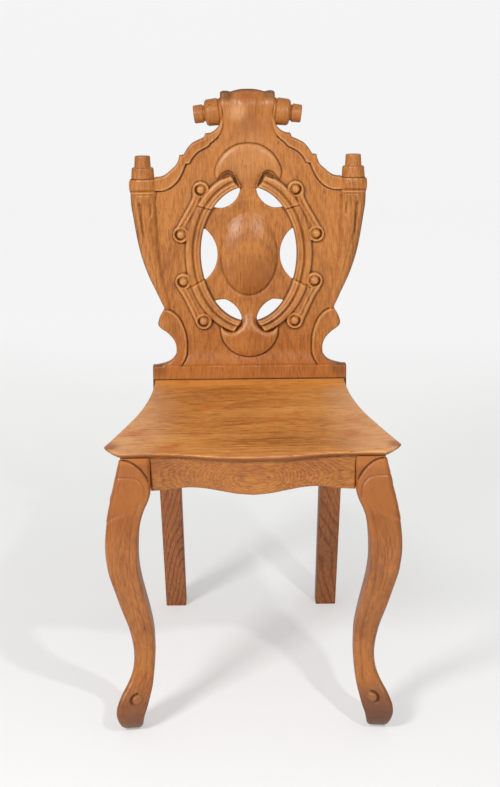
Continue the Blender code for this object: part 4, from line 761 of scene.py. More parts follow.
    def bracket(
        self, rows: Sequence[Pair], eyes: tuple[Pair, Pair], a: Array, y: Array, shade: Pair
    ) -> Array:
        """Scroll bracket: ribs that follow its outer edge, and at each end a coil round a button.

        Args:
            rows: Points of the bracket's outer edge; the ring closes it.
            eyes: Centres of its two buttons.
            a: Distance from the middle of the back.
            y: Height.
            shade: Direction in which the cut round the buttons is deepest.

        Returns:
            Height of the face, well below the ground away from the bracket.
        """
        edge = flowing(rows)
        inside = depth_closed(edge, a, y)
        t = reach(edge, a, y)
        outer, inner = (half_round(t - place, half) for place, half in zip(self.rib_places, self.rib_halves))
        beads = np.maximum(outer, np.maximum(inner, self.web_share))
        height = np.where(inside > 0, self.ground + self.rib_height * beads**0.8, AWAY)
        shallow, deep = self.eye_cut_depths
        for eye in eyes:
            dx, dy = a - eye[0], y - eye[1]
            r = np.hypot(dx, dy)
            way = (dx * shade[0] + dy * shade[1]) / np.maximum(r, TINY)
            coil = self.ground + self.coil_height * half_round(r - self.coil_radius, self.coil_half) ** 0.7
            height = np.where((r < self.coil_reach) & (inside > -2), np.maximum(coil, self.ground), height)
            button = self.button_foot + self.button_height * half_round(r, self.button_radius + 0.1)
            height = np.where(r < self.button_radius, self.ground + button, height)
            depth = shallow + deep * ease(-0.2, 0.8, way)
            height = height - depth * bump(r - self.eye_cut_radius, self.eye_cut_width)
        return height

    def floor(self, x: Array, y: Array) -> Array:
        """Ground with its foot band, and the ears outside the carved line."""
        a = np.abs(x)
        wander = 0.22 * np.sin(x * 0.11 + 1.3) * np.sin(y * 0.083)
        wander = wander + 0.16 * np.sin(x * 0.31 + y * 0.12) * np.sin(y * 0.27)
        floor = self.ground + wander + 3.8 * ease(52, 24, y)
        line = flowing(self.ear_line)
        beyond = reach(line, a, y)
        outside = np.where((a > np.interp(y, line[:, 1], line[:, 0])) & (y < 117), 1, -1) * beyond
        near_line = ease(123, 116, y) * ease(150, 142, a)
        slope = np.exp(-np.clip(-outside, 0, 60) / 7) * (outside < 0) * ease(60, 26, beyond)
        floor = floor - 2.4 * slope * near_line
        ear = np.where(y < 121, self.ground + 5 * ease(-0.9, 0.5, outside) * near_line, AWAY)
        floor = np.maximum(floor, ear) - 1.6 * bump(outside + 0.9, 1.1) * near_line * ease(22, 26, y)
        floor = np.where(y < self.foot_band, np.maximum(floor, -0.2), floor)
        return floor - 0.7 * bump(y - self.foot_band - 0.7, 0.9) * (a < 150)

    def stripped(self, face: Array, x: Array, y: Array, rim: Array) -> Array:
        """Face with the strip along the shoulders and the neck, and the groove inside it."""
        inner = np.concatenate([flowing(run) for run in self.strip_line])
        around = [(38.0, 470.0), (300.0, 470.0), (300.0, self.strip_foot)]
        into = depth_closed(np.concatenate([inner, around]), np.abs(x), y)
        strip = np.where(y > self.strip_foot, ease(-1.0, 0.2, into), 0) * ease(462, 430, y)
        face = face * (1 - strip) + 0.2 * strip
        groove = np.where(into < 0.2, bump(into + 1.5, 1.2), 0) * ease(452, 420, y) * ease(306, 316, y)
        face = face - 1.1 * groove * (np.abs(x) > 30)
        return face + np.where(into > 0, 0.8 * bump(rim - 4, 3.4) * ease(440, 425, y), 0)

    def crescents(self, face: Array, x: Array, y: Array) -> Array:
        """Face with the upper crescent, the hollows of its hooks, and the lower crescent."""
        a = np.abs(x)
        cusp = depth_in(flowing(self.crescent, 4), x, y)
        level = self.ground + 7.6 * ease(308, 345, y)
        crescent = level - 5.2 * edge_drop(cusp, self.crescent_rounding) - 1.2 * edge_drop(cusp, 2.4)
        around = 0.8 * bump(cusp + 0.8, 1.1) * ease(330, 348, y) * (1 - 0.75 * ease(-34, -46, x))
        face = np.where(cusp > 0, np.maximum(face, crescent), face - around)
        hook = depth_closed(flowing(self.hook + self.hook[:1], 4), a, y)
        face = np.where(hook > 0, np.minimum(face, -3.0 - 5.0 * ease(0, 5.0, hook)), face)
        size = (self.pelta_size, self.pelta_size)
        pelta = depth_in(arcs((0, -1), self.pelta, size, (0, self.pelta_middle)), x, y)
        level = self.ground + 8.4 * ease(118, 78, y)
        low = level - 5.6 * edge_drop(pelta, self.pelta_rounding) - 1.4 * edge_drop(pelta, 2.2)
        face = np.where(pelta > 0, np.maximum(face, low), face - 0.7 * bump(pelta + 0.8, 1.2) * (y < 90))
        return face - 2.2 * bump(np.hypot(a - 26.0, y - 87.0), 5.0) * (pelta < 0)

    def domed(self, face: Array, x: Array, y: Array) -> Array:
        """Face with the dome: a power of how far inside the ellipse a point is."""
        dx, dy = x / self.dome_half[0], (y - self.dome_middle) / self.dome_half[1]
        q = dx * dx + dy * dy
        power = 0.56 + 0.34 * ease(0.0, 1.0, dy)
        dome = self.ground + self.dome_height * np.clip(1 - q, 0, 1) ** power
        edge_line = bump((np.sqrt(q) - 1.02) * 55, 2.2) * ease(0.5, -0.9, dy)
        return np.where(q < 1, np.maximum(face, dome), face) - 0.8 * edge_line

    def crested(self, face: Array, x: Array, y: Array) -> Array:
        """Face with the rolled crest, and the hollows that run from it down the neck."""
        level, out = self.crest_axis
        lean = x * (1 + np.clip(level - y, 0, 60) * 0.007)
        plain = self.crest_radius * (1 - 0.16 * np.clip(np.abs(lean) / 40, 0, 1.2) ** 2)
        ridged = plain + (self.crest_rise(lean) - plain) * ease(404, 448, y)
        front = self.ground + (ridged + out - self.ground) * ease(386, 445, y)
        over = out + np.sqrt(np.clip(self.crest_rise(x) ** 2 - (y - level) ** 2, 0, None))
        neck = np.where(y < level, front, over) + sum(fold.field(x, y) for fold in self.neck_folds)
        on_neck = (y > self.neck_foot) & (np.abs(x) < 47)
        joined = soft_max(face, neck, 2.4 * ease(self.neck_foot, 410, y) * ease(452, 440, y) + 0.01)
        face = np.where(on_neck & (y < 452), joined, face)
        return np.where(on_neck & (y >= 452), np.minimum(neck, over), face)

    def relief(self, x: Array, y: Array) -> Array:
        """Height of the carved face: the highest of its parts, less the grooves and the worn edges."""
        a, rim = np.abs(x), depth_in(self.outline(), x, y)
        face = self.stripped(self.floor(x, y), x, y, rim)
        face = np.maximum(soft_max(face, self.horns(a, y), 3.0), self.ring(a, y))
        face = self.domed(self.crescents(face, x, y), x, y)
        face = np.maximum(face, self.bracket(self.upper_bracket, self.upper_eyes, a, y, (0.85, -0.5)))
        face = np.maximum(face, self.bracket(self.lower_bracket, self.lower_eyes, a, y, (0.7, -0.7)))
        face = self.crested(face, x, y)
        on_horn = (y > 104) & (y < 331) & (a > 120)
        face = face - np.where(on_horn | (y > self.crest_axis[0]), 0.0, 2.2) * edge_drop(rim, 2.4)
        return face - edge_drop(-self.openings(x, y), 1.4)

    def rear(self, x: Array, y: Array) -> Array:
        """Flat back of the boards, with its outer edge eased and the openings chamfered."""
        rim = depth_in(self.outline(), x, y)
        chamfer = self.chamfer * ease(10.5, 0.0, -self.openings(x, y)) * (y > 60)
        return -self.thickness + 1.6 * edge_drop(rim, 2.0) + chamfer

    def build(self) -> list[Piece]:
        """Makes the three upright boards of the back."""
        rows = int((self.grid_top - self.grid_foot) / self.step) + 2
        low = (-self.half_columns * self.step, self.grid_foot)
        counts = (2 * self.half_columns + 1, rows)
        forms = (self.cut, self.relief, self.rear)
        board = CutBoard(BACK_BENCH, low, self.step, counts, *forms, floor=0.432)
        ends = (-BEYOND, *self.seams, BEYOND)
        return board.build(
            [
                Share(f"carved_board_{name}", f"back_board_{name}", (ends[k], -BEYOND), (ends[k + 1], BEYOND))
                for k, name in enumerate(("left", "centre", "right"))
            ]
        )

    def build_rear_roll(self) -> Piece:
        """Rear half of the rolled crest: its radius carried round behind the boards and closed by a flat."""
        x = np.linspace(-self.crest_half, self.crest_half, 89)
        radius = self.crest_rise(x)
        flat = self.crest_axis[1] + self.thickness + 0.3
        start = np.arcsin(np.clip(flat / radius, -1, 1))
        angle = start[:, None] + (math.pi - 2 * start)[:, None] * np.linspace(0, 1, 49)[None]
        y = self.crest_axis[0] + radius[:, None] * np.cos(angle)
        z = self.crest_axis[1] - radius[:, None] * np.sin(angle)
        share = np.linspace(0, 1, 14)[None, 1:-1]
        y = np.concatenate([y, y[:, -1:] + (y[:, :1] - y[:, -1:]) * share], 1)
        z = np.concatenate([z, np.repeat(z[:, :1], share.size, 1)], 1)
        rows = BACK_BENCH.place(np.repeat(x[:, None], y.shape[1], 1), y, z)[:, ::-1]
        return skin("crest_roll_rear", rows, np.zeros(rows.shape[:2]), "crest_back_block")


@dataclass(frozen=True)
class TurnedParts:
    """Rolls at the ends of the crest and posts on the horns' heads."""

    roll_start: Triple = (44.0, 437.5, -16.0)
    roll_tilt: float = 6.7
    roll_profile: Pairs = (
        (-3, 12), (-3, 20.6), (-2, 21.4), (0.2, 21.2), (1.4, 18.8), (2.6, 21), (4, 21.8), (20.6, 21.2),
        (22.6, 19.4), (24, 18), (24.6, 13), (27, 12.4), (27.8, 14.8), (41.4, 14.4), (42.8, 13.4),
        (43.2, 7), (43.3, 2),
    )
    post_across: float = CarvedBack.post_across
    post_foot: float = 331.3
    post_axis: float = -8.0
    roll_softness: float = 1.4
    post_softness: float = 1.6
    post_profile: Pairs = (
        (0, 12), (0, 18), (1.4, 18.8), (16.4, 17.7), (18.2, 16.6), (18.3, 13.6), (19.4, 13.3),
        (35.4, 12.4), (36.8, 11.6), (37.2, 6), (37.3, 1.5),
    )

    def build(self) -> list[Piece]:
        """Turns the two rolls and the two posts."""
        tilt = math.radians(self.roll_tilt)
        made = []
        for name, side in (("left", -1), ("right", 1)):
            start = (side * self.roll_start[0], *self.roll_start[1:])
            along = (side * math.cos(tilt), -math.sin(tilt), 0.0)
            foot = (side * self.post_across, self.post_foot, self.post_axis)
            roll = f"crest_scroll_{name}", f"crest_roll_{name}", start, along, self.roll_profile
            post = f"turned_post_{name}", f"shoulder_post_{name}", foot, (0.0, 1.0, 0.0), self.post_profile
            made += [Turning(*roll, self.roll_softness).build(), Turning(*post, self.post_softness).build()]
        return made


# Seat and frame


@dataclass(frozen=True)
class Seat:
    """Seat of three boards: millimetres from the chair's middle, with the top at zero."""

    step: float = 1.5
    nose: float = 4.8
    thickness: float = 18.0
    rebate: float = 9.5
    rebate_rear: float = -186.0
    undercut: float = 6.0
    rounding: float = 1.9
    half_width: float = 214.5
    depth: float = 390.0
    rear: float = 133.0
    seams: Pair = (-78.0, 81.0)
    half_columns: int = 144
    rows: int = 263
    rows_before_seam: int = 120
    edge: Triples = (
        (0.373, -0.974, 0.032), (0.606, -0.952, -0.030), (0.888, -0.951, -0.015), (1.005, -0.864, 0.080),
        (0.828, -0.501, -0.005), (0.730, 0.000, -0.027), (0, 0, 0),
    )

    def cut(self, x: Array, y: Array) -> Array:
        """Distance in from the seat's edge."""
        return depth_in(arcs((0, -1), self.edge, (self.half_width, self.depth), (0, self.rear)), x, y)

    def top(self, x: Array, y: Array) -> Array:
        """Top: flat, slightly dished by use, and rounded over at the worn edge."""
        rim = self.cut(x, y)
        dish = 0.35 * np.sin(x * 0.031) * np.sin(y * 0.027) - 0.5 * bump(np.hypot(x, y + 40), 120)
        worn = self.rounding + 0.4 * np.sin(x * 0.07) * np.sin(x * 0.023 + 1)
        worn = np.where(y > self.rear - 6, 0.6, worn)
        return dish * ease(0, 30, rim) - worn * edge_drop(rim, worn)

    def under(self, x: Array, y: Array) -> Array:
        """Underside: flat, with a rebate over the legs and a cove along the edge below a thin nosing."""
        rim = np.where(y > self.rear - 8, 99, self.cut(x, y))
        share = np.clip((rim - 0.8) / self.undercut, 0, 1)
        deep = np.where(y < self.rebate_rear, self.rebate, self.thickness)
        cove = self.nose + (deep - self.nose) * (1 - np.sqrt(np.clip(1 - share**1.5, 0, 1)))
        return -cove + 1.6 * edge_drop(rim, 2.0)

    def build(self) -> list[Piece]:
        """Makes the three seat boards."""
        low = (-self.half_columns * self.step, self.seams[0] - self.rows_before_seam * self.step)
        counts = (2 * self.half_columns + 1, self.rows)
        board = CutBoard(SEAT_BENCH, low, self.step, counts, self.cut, self.top, self.under, 0.40, 2.5)
        ends = (-BEYOND, *self.seams, BEYOND)
        return board.build(
            [
                Share(f"seat_plank_{name}", f"seat_board_{name}", (-BEYOND, ends[k]), (BEYOND, ends[k + 1]))
                for k, name in enumerate(("front", "middle", "rear"))
            ]
        )


@dataclass(frozen=True)
class Apron:
    """Bowed front rail between the front legs, with a shaped lower edge."""

    step: float = 1.2
    half_length: float = 147.6
    top: float = 440.2
    thickness: float = 20.0
    half_columns: int = 124
    rows: int = 46
    grid_foot: float = 387.0
    lower_edge: Pairs = (
        (0, 388.6), (24, 390.4), (47, 393.6), (72, 396.4), (96, 396.2), (122, 391.6), (147.6, 389.6),
    )
    bow: Pairs = ((0, 18.3), (24, 17.2), (46, 14), (75, 8.4), (100, 4.4), (125, 1.3), (148, 0))

    def cut(self, x: Array, y: Array) -> Array:
        """Distance in from the rail's edge, seen from the front."""
        line = np.concatenate([flowing(self.lower_edge), [(self.half_length, self.top), (0.0, self.top)]])
        return depth_in(line, x, y)

    def face(self, x: Array, y: Array) -> Array:
        """Bowed face, with its edges eased."""
        soft = 1.4 * edge_drop(self.cut(x, y), 1.8) * (y < 434)
        return graph(self.bow, np.abs(x)) - soft

    def back(self, x: Array, y: Array) -> Array:
        """Flat rear side."""
        return np.full(x.shape, -self.thickness)

    def build(self) -> list[Piece]:
        """Makes the front rail."""
        low = (-self.half_columns * self.step, self.grid_foot)
        counts = (2 * self.half_columns + 1, self.rows)
        forms = (self.cut, self.face, self.back)
        board = CutBoard(APRON_BENCH, low, self.step, counts, *forms, grain_depth=2.0)
        return board.build([Share("apron_front", "front_rail", (-BEYOND, -BEYOND), (BEYOND, BEYOND))])


@dataclass(frozen=True)
class FrontLeg:
    """Front leg sawn from square stock to one curve on both faces, then carved.

    Millimetres: heights from the floor, swings from the block's outer and inner faces.
    """

    height: float = 440.2
    outer_face: float = 190.0
    front_face: float = -230.0
    size: float = 42.0
    rounding: float = 5.0
    rows: int = 400
    section: SquareSection = SquareSection(42, 7)
    boss_place: Pair = (26.5, 58.0)
    boss_radius: float = 8.8
    boss_height: float = 2.8
    trench_depths: Pair = (0.5, 2.8)
    coil_radius: float = 15.5
    coil_sway: float = 2.2
    line_depth: float = 0.5
    band_half: float = 11.6
    band_taper: float = 7.4
    band_height: float = 1.3
    band_cuts: Pair = (2.6, 1.3)
    knee_height: float = 0.6
    fillet_inset: float = 11.5
    fillet_depth: float = 0.8
    bead_inset: float = 5.0
    bead_height: float = 0.5
    spine_inset: float = 11.0
    spine_height: float = 0.7
    ridge_level: float = 352.0
    ridge_height: float = 1.0
    toe_level: float = 20.0
    hollow_range: float = 1.7
    grain_follow: float = 0.85
    outer: Pairs = (
        (0, 7.4), (2, 9.2), (6, 11.4), (12, 13.4), (24, 16.4), (35, 18), (44, 17.6), (52, 15.6), (66, 9.4),
        (78, 1.9), (91, -4.4), (106, -8.4), (122, -9.4), (139, -8.2), (156, -5.7), (174, -2), (193, 3.2),
        (212, 8.3), (230, 12.7), (248, 17.2), (266, 21.4), (283, 23.6), (299, 25), (315, 25), (330, 23.9),
        (345, 22.1), (360, 19.6), (374, 16.4), (387, 13), (401, 9.7), (416, 6.7), (430, 3.2), (441, 1.4),
    )
    inner: Pairs = (
        (0, 27.4), (2.5, 25.2), (9, 22.4), (16, 20.9), (23, 19.8), (31, 18), (45, 13.4), (60, 9.3),
        (75, 5.6), (91, 3.6), (107, 2.1), (124, 1.2), (141, 1.3), (158, 1.8), (175, 3.7), (193, 6.7),
        (211, 10.1), (229, 13.6), (246, 16.8), (264, 19.4), (280, 20.7), (296, 20.8), (312, 20.2),
        (327, 19), (341, 16.8), (355, 13.6), (366, 9.6), (376, 4.8), (384, 1.8), (391, 0.2), (398, 0),
        (441, 0),
    )
    recess: Pairs = (
        (0, 1), (17, 4.5), (35, 9.5), (53, 11.5), (70, 7.5), (86, 3), (112, 0), (140, 0), (200, 0),
        (320, 0), (441, 0),
    )
    toe: Pairs = (
        (0, 21), (3, 17), (8, 12), (15, 7.5), (24, 3.6), (34, 1), (44, 0), (60, 0), (90, 0), (150, 0),
        (270, 0), (441, 0),
    )
    band_middle: Pairs = ((0, 425.5), (15, 424.3), (30, 418.6), (40, 410), (47, 400), (51, 389), (53, 380))

    def carving(self, s: Array, width: Array, z: Array) -> Array:
        """Height of the carving on a face.

        Args:
            s: Distance from the leg's outer corner.
            width: Width of the face at that height.
            z: Height from the floor.

        Returns:
            Millimetres out of the face.
        """
        line = flowing(self.band_middle)
        far = reach(line, s, z)
        above = z > np.interp(s, line[:, 0], line[:, 1])
        half = self.band_half - self.band_taper * ease(2, 44, s)
        edge = np.where(above, ease(half + 0.4, half - 0.8, far), 1.0)
        band = self.band_height * edge * ease(352, 372, z)
        lines = -np.where(above, *self.band_cuts) * bump(far - half - 0.4, 1.25) * ease(376, 386, z)
        knee = self.knee_height * bump(far - half - 9, 5) * (~above)
        inset = width - s
        fillet = self.bead_height * bump(inset - self.bead_inset, 4.5)
        fillet = (fillet - self.fillet_depth * bump(inset - self.fillet_inset, 1.4)) * ease(66, 86, z)
        fillet = fillet * ease(386, 370, z)
        spine = self.spine_height * bump(s - self.spine_inset - 3 * ease(300, 200, z), 6)
        spine = spine * ease(80, 120, z) * ease(372, 340, z)
        ridge = self.ridge_height * bump((z - self.ridge_level) - (s - 6) * 0.45, 3.2) * ease(34, 20, s)
        dx, dz = s - self.boss_place[0], z - self.boss_place[1]
        r = np.hypot(0.72 * dx + 1.25 * dz, 0.87 * dx - 0.5 * dz)
        boss = self.boss_height * half_round(r, self.boss_radius) * (r < self.boss_radius)
        angle = np.arctan2(dz - 2, -(dx + 1))
        shallow, deep = self.trench_depths
        trench = -(shallow + deep * ease(-0.3, 0.8, np.cos(angle))) * bump(r - self.boss_radius - 1.7, 1.9)
        coil = bump(r - (self.coil_radius + self.coil_sway * np.sin(angle)), 1.3) * ease(74, 50, z)
        toe = bump(z - (self.toe_level + 0.35 * inset), 1.6) * ease(6, 16, s)
        carved = band + lines + knee + fillet + spine + ridge + boss + trench
        return carved - self.line_depth * (coil + toe)

    def build(self, side: int, name: str) -> Piece:
        """Makes one leg.

        Args:
            side: -1 for the left leg and 1 for the right one.
            name: left or right.

        Returns:
            The leg.
        """
        z = np.linspace(0, self.height, self.rows)[:, None]
        tables = (self.outer, self.inner, self.recess, self.toe)
        out, into, drawn_in, back = (graph(rows, z) for rows in tables)
        width = self.size + out - into
        place, way = self.section.points()
        half = width / 2
        cx = self.outer_face + out - half
        cy = self.front_face - out + half
        corner = np.minimum(self.rounding + 2.5 * bump(z - 130, 60), half * 0.6)
        x = cx + place[None, :, 0] * (half - corner) + way[None, :, 0] * corner
        y = cy + place[None, :, 1] * (half - corner) + way[None, :, 1] * corner
        x = x - drawn_in * ((1 + place[:, 0]) * (1 + place[:, 1]) / 4)[None]
        y = y + drawn_in * ((1 - place[:, 0]) * (1 - place[:, 1]) / 4)[None]
        y, cy = y + back, cy + back
        on_front = (way[:, 1] < -0.5)[None] & (np.abs(way[:, 1]) >= np.abs(way[:, 0]))[None]
        on_side = (way[:, 0] > 0.5)[None] & ~on_front
        s = np.where(on_front, self.outer_face + out - x, y - back - (self.front_face - out))
        tall, wide = np.repeat(z, x.shape[1], 1), np.repeat(width, x.shape[1], 1)
        rise = np.where(on_front | on_side, self.carving(s, wide, tall), 0.0)
        rise = np.where(on_side, rise * ease(84, 104, tall), rise)
        rise = rise * np.clip(1.6 - np.abs(way[:, 0] * way[:, 1]) * 2.2, 0, 1)[None]
        x, y = x + rise * way[None, :, 0], y + rise * way[None, :, 1]
        worn_foot = 1 - 0.03 * ease(4, 0, tall)
        x, y = cx + (x - cx) * worn_foot, cy + (y - cy) * worn_foot
        points = np.stack([x * side, y, tall], -1) * MM
        seen = (x - cx * self.grain_follow) * side, y - cy * self.grain_follow, tall
        grain = np.stack(seen, -1) * MM
        if side < 0:
            points, grain, rise = points[:, ::-1], grain[:, ::-1], rise[:, ::-1]
        return skin(f"carved_leg_{name}", points, -rise / self.hollow_range, f"front_leg_{name}", 60, grain)


@dataclass(frozen=True)
class RearLeg:
    """Rear leg sawn with a sweep backwards, with a stump that stands behind the back."""

    height: float = 431.7
    stump: float = 467.6
    outer: Pair = (159.5, 152.0)
    inner: Pair = (122.3, 116.6)
    front: Pair = (133.6, 221.0)
    back: Pair = (189.6, 257.0)
    corner: float = 2.4
    sweep_power: float = 1.12
    stump_front: float = 156.0
    stump_lean: float = 0.079
    section: SquareSection = SquareSection(8, 4)

    def build(self, side: int, name: str) -> Piece:
        """Makes one leg: corners run down straight across and sweep back as a power of the height."""
        low = np.linspace(0, self.height, 120)
        high = np.linspace(self.height, self.stump, 12)
        z = np.concatenate([low, high])[:, None]
        fall = 1 - np.clip(z / self.height, 0, 1)
        sweep = fall**self.sweep_power
        tables = (self.outer, self.inner, self.front, self.back)
        outer, inner, front, back = (
            high + (low - high) * share for (high, low), share in zip(tables, (fall, fall, sweep, sweep))
        )
        above = (np.arange(len(z)) >= len(low))[:, None]
        front = np.where(above, self.stump_front + (z - self.height) * self.stump_lean, front)
        place, way = self.section.points()
        hx, hy = (outer - inner) / 2, (back - front) / 2
        x = (outer + inner) / 2 + place[None, :, 0] * (hx - self.corner) + way[None, :, 0] * self.corner
        y = (front + back) / 2 + place[None, :, 1] * (hy - self.corner) + way[None, :, 1] * self.corner
        tall = np.repeat(z, x.shape[1], 1)
        tall = np.minimum(tall, self.stump - 1.0 - np.clip(y - 145, 0, 60) * 0.36)
        points = np.stack([x * side, y, tall], -1) * MM
        if side < 0:
            points = points[:, ::-1]
        return skin(f"swept_leg_{name}", points, np.zeros(points.shape[:2]), f"rear_leg_{name}", 50)


# Finishes


class Grain(Enum):
    """Way that the grain runs in the chair's frame, as the turn that brings it onto Z."""

    UPRIGHT = (0.0, 0.0, 0.0)
    ACROSS = (0.0, math.radians(90), 0.0)
    BACKWARDS = (math.radians(90), 0.0, 0.0)


def linear(colour: Triple) -> tuple[float, float, float, float]:
    """Scene colour, with full cover, of a screen colour from 0 to 255, by the sRGB curve."""
    c = np.array(colour) / 255
    c = np.where(c <= 0.04045, c / 12.92, ((c + 0.055) / 1.055) ** 2.4)
    return (float(c[0]), float(c[1]), float(c[2]), 1.0)


class Sheet:
    """Adds nodes to a shader tree and joins them."""

    def __init__(self, tree: Tree) -> None:
        """Keeps the tree and empties it."""
        self.tree = tree
        self.tree.nodes.clear()

    @classmethod
    def of_material(cls, name: str) -> tuple[Material, "Sheet"]:
        """New material and the sheet of its tree."""
        made = bpy.data.materials.new(name)
        made.use_nodes = True
        return made, cls(made.node_tree)

    def node(self, kind: str, inputs: dict | None = None, **settings: object) -> Node:
        """Adds a node.

        Args:
            kind: The node's type, without the words ShaderNode.
            inputs: Values or sockets for its inputs, by name or number.
            settings: Its other settings.

        Returns:
            The node.
        """
        made = self.tree.nodes.new(kind if kind.startswith("Node") else "ShaderNode" + kind)
        for key, value in settings.items():
            setattr(made, key, value)
        for key, value in (inputs or {}).items():
            if isinstance(value, Socket):
                self.tree.links.new(value, made.inputs[key])
            else:
                made.inputs[key].default_value = value
        return made

    def calc(self, operation: str, *values: object) -> Socket:
        """Result of a sum on numbers or sockets."""
        return self.node("Math", dict(enumerate(values)), operation=operation).outputs[0]

    def swayed(self, base: object, value: object, amount: object) -> Socket:
        """Base plus an amount times how far a value is from one half."""
        return self.calc("MULTIPLY_ADD", self.calc("SUBTRACT", value, 0.5), amount, base)

    def blend(self, share: object, a: object, b: object) -> Socket:
        """Colour between a and b."""
        return self.node("Mix", {0: share, 6: a, 7: b}, data_type="RGBA").outputs[2]

    def rise(
        self, value: object, low: float, high: float, floor: float = 0.0, top: float = 1.0
    ) -> Socket:
        """Smooth step of a value, from floor at low to top at high."""
        inputs = {"Value": value, "From Min": low, "From Max": high, "To Min": floor, "To Max": top}
        return self.node("MapRange", inputs, interpolation_type="SMOOTHSTEP").outputs[0]

    def noise(
        self, vector: object, scale: float, detail: float = 2.0, roughness: float = 0.5
    ) -> Socket:
        """Value of a noise field."""
        inputs = {"Vector": vector, "Scale": scale, "Detail": detail, "Roughness": roughness}
        return self.node("TexNoise", inputs).outputs[0]

    def stretched(self, vector: object, size: Triple) -> Socket:
        """Vector scaled along its axes."""
        return self.node("VectorMath", {0: vector, 1: size}, operation="MULTIPLY").outputs[0]


@dataclass(frozen=True)
class Fibres:
    """Noise drawn out along the grain: its squeeze along Z, scale, detail, roughness and weight."""

    squeeze: float
    scale: float
    detail: float = 2.0
    roughness: float = 0.5
    weight: float = 1.0

    def value(self, sheet: Sheet, where: object) -> Socket:
        """The noise at a place."""
        drawn_out = sheet.stretched(where, (1, 1, self.squeeze))
        return sheet.noise(drawn_out, self.scale, self.detail, self.roughness)


SWAY = Fibres(0.22, 11.0)
RIPPLE = Fibres(0.1, 60.0)
PORES = Fibres(0.09, 420.0, 1.0)
TONE_LAYERS = (
    Fibres(0.25, 22.0, 3.0, weight=0.34),
    Fibres(0.045, 260.0, 3.0, 0.6, 0.24),
    Fibres(0.4, 620.0, 1.0, weight=0.16),
    Fibres(0.08, 480.0, 3.0, 0.65, 0.54),
)
RIPPLE_WIDTH = 0.004


class SharedEffects:
    """Node groups used by every finish: oak figure, dirt and painted shade in the hollows, and age."""

    def __init__(self) -> None:
        """Builds the groups once."""
        self.figure = self.build_figure()
        self.dirt = self.build_dirt_and_shade()
        self.age = self.build_age()

    @staticmethod
    def group(name: str, inputs: Sequence[str], outputs: Sequence[str]) -> tuple[Sheet, Node]:
        """Empty group with a Vector input.

        Args:
            name: Its name.
            inputs: Names of its other inputs, which are values.
            outputs: Names of its value outputs.

        Returns:
            The group's sheet and its input node.
        """
        tree = bpy.data.node_groups.new(name, "ShaderNodeTree")
        tree.interface.new_socket("Vector", in_out="INPUT", socket_type="NodeSocketVector")
        for keys, way in ((inputs, "INPUT"), (outputs, "OUTPUT")):
            for key in keys:
                tree.interface.new_socket(key, in_out=way, socket_type="NodeSocketFloat")
        sheet = Sheet(tree)
        return sheet, sheet.node("NodeGroupInput")

    def build_figure(self) -> Tree:
        """Oak figure along Z: growth rings round a leaning pith, streaks, and open pores."""
        keys = ("Pith", "Lean", "Ring Width", "Ring Depth", "Sway")
        sheet, given = self.group("oak_figure", keys, ("Tone", "Pores", "Height"))
        where, pith, lean, ring_width, ring_depth, sway = (given.outputs[k] for k in ("Vector", *keys))
        axes = sheet.node("SeparateXYZ", {0: where})
        across = sheet.swayed(axes.outputs[0], SWAY.value(sheet, where), sway)
        inwards = sheet.calc("ADD", sheet.calc("MULTIPLY_ADD", axes.outputs[2], lean, axes.outputs[1]), pith)
        inwards = sheet.swayed(inwards, RIPPLE.value(sheet, where), RIPPLE_WIDTH)
        square = sheet.calc("MULTIPLY_ADD", across, across, sheet.calc("MULTIPLY", inwards, inwards))
        turn = sheet.calc("FRACT", sheet.calc("DIVIDE", sheet.calc("SQRT", square), ring_width))
        ring = sheet.calc("MULTIPLY", sheet.rise(turn, 0.45, 0.9), sheet.rise(turn, 1.0, 0.92))
        tone = 0.0
        for layer in TONE_LAYERS:
            tone = sheet.calc("MULTIPLY_ADD", layer.value(sheet, where), layer.weight, tone)
        tone = sheet.rise(sheet.calc("SUBTRACT", tone, sheet.calc("MULTIPLY", ring, ring_depth)), 0.36, 0.90)
        pores = sheet.rise(PORES.value(sheet, where), 0.60, 0.70)
        pores = sheet.calc("MULTIPLY", pores, sheet.rise(turn, 0.75, 0.15, 0.45, 1.0))
        height = sheet.calc("SUBTRACT", sheet.calc("MULTIPLY", tone, 0.6), pores)
        sheet.node("NodeGroupOutput", {"Tone": tone, "Pores": pores, "Height": height})
        return sheet.tree

    def build_dirt_and_shade(self) -> Tree:
        """Masks from the carving, both broken up: dirt and painted shade where it is sunk, rubbed wood where
        it is raised.
        """
        sheet, given = self.group("carving_dirt_and_shade", (), ("Sunk", "Rubbed"))
        # How far a point is sunk; the mask from it paints dirt and shade into the carving's hollows
        sunk = sheet.node("Attribute", attribute_name="hollow").outputs["Fac"]
        level = sheet.swayed(sunk, sheet.noise(given.outputs["Vector"], 90.0, 3.0), 0.22)
        masks = {"Sunk": sheet.rise(level, 0.10, 0.90), "Rubbed": sheet.rise(level, -0.06, -0.62)}
        sheet.node("NodeGroupOutput", masks)
        return sheet.tree

    def build_age(self) -> Tree:
        """Masks of age: broad soft stains, small dark knots and marks, and a slow drift of tone."""
        sheet, given = self.group("age", (), ("Stain", "Specks", "Drift"))
        where = given.outputs["Vector"]
        stain = sheet.rise(sheet.noise(where, 17.0, 4.0, 0.6), 0.54, 0.72)
        spots = sheet.node("TexVoronoi", {"Vector": where, "Scale": 42.0}).outputs["Distance"]
        gate = sheet.rise(sheet.noise(where, 31.0, 1.0), 0.58, 0.66)
        specks = sheet.calc("MULTIPLY", sheet.rise(spots, 0.11, 0.04), gate)
        drift = sheet.noise(where, 5.5)
        sheet.node("NodeGroupOutput", {"Stain": stain, "Specks": specks, "Drift": drift})
        return sheet.tree


@dataclass(frozen=True)
class Tint:
    """Change of colour along an axis of the chair's frame: none at start, full at stop, in metres."""

    axis: int
    start: float
    stop: float
    colour: Triple
    strength: float
    both_ways: bool = False
    drift: float = 0.05


@dataclass(frozen=True)
class Spot:
    """Change of colour round a place in the chair's frame, in metres."""

    centre: Triple
    radius: float
    colour: Triple
    strength: float


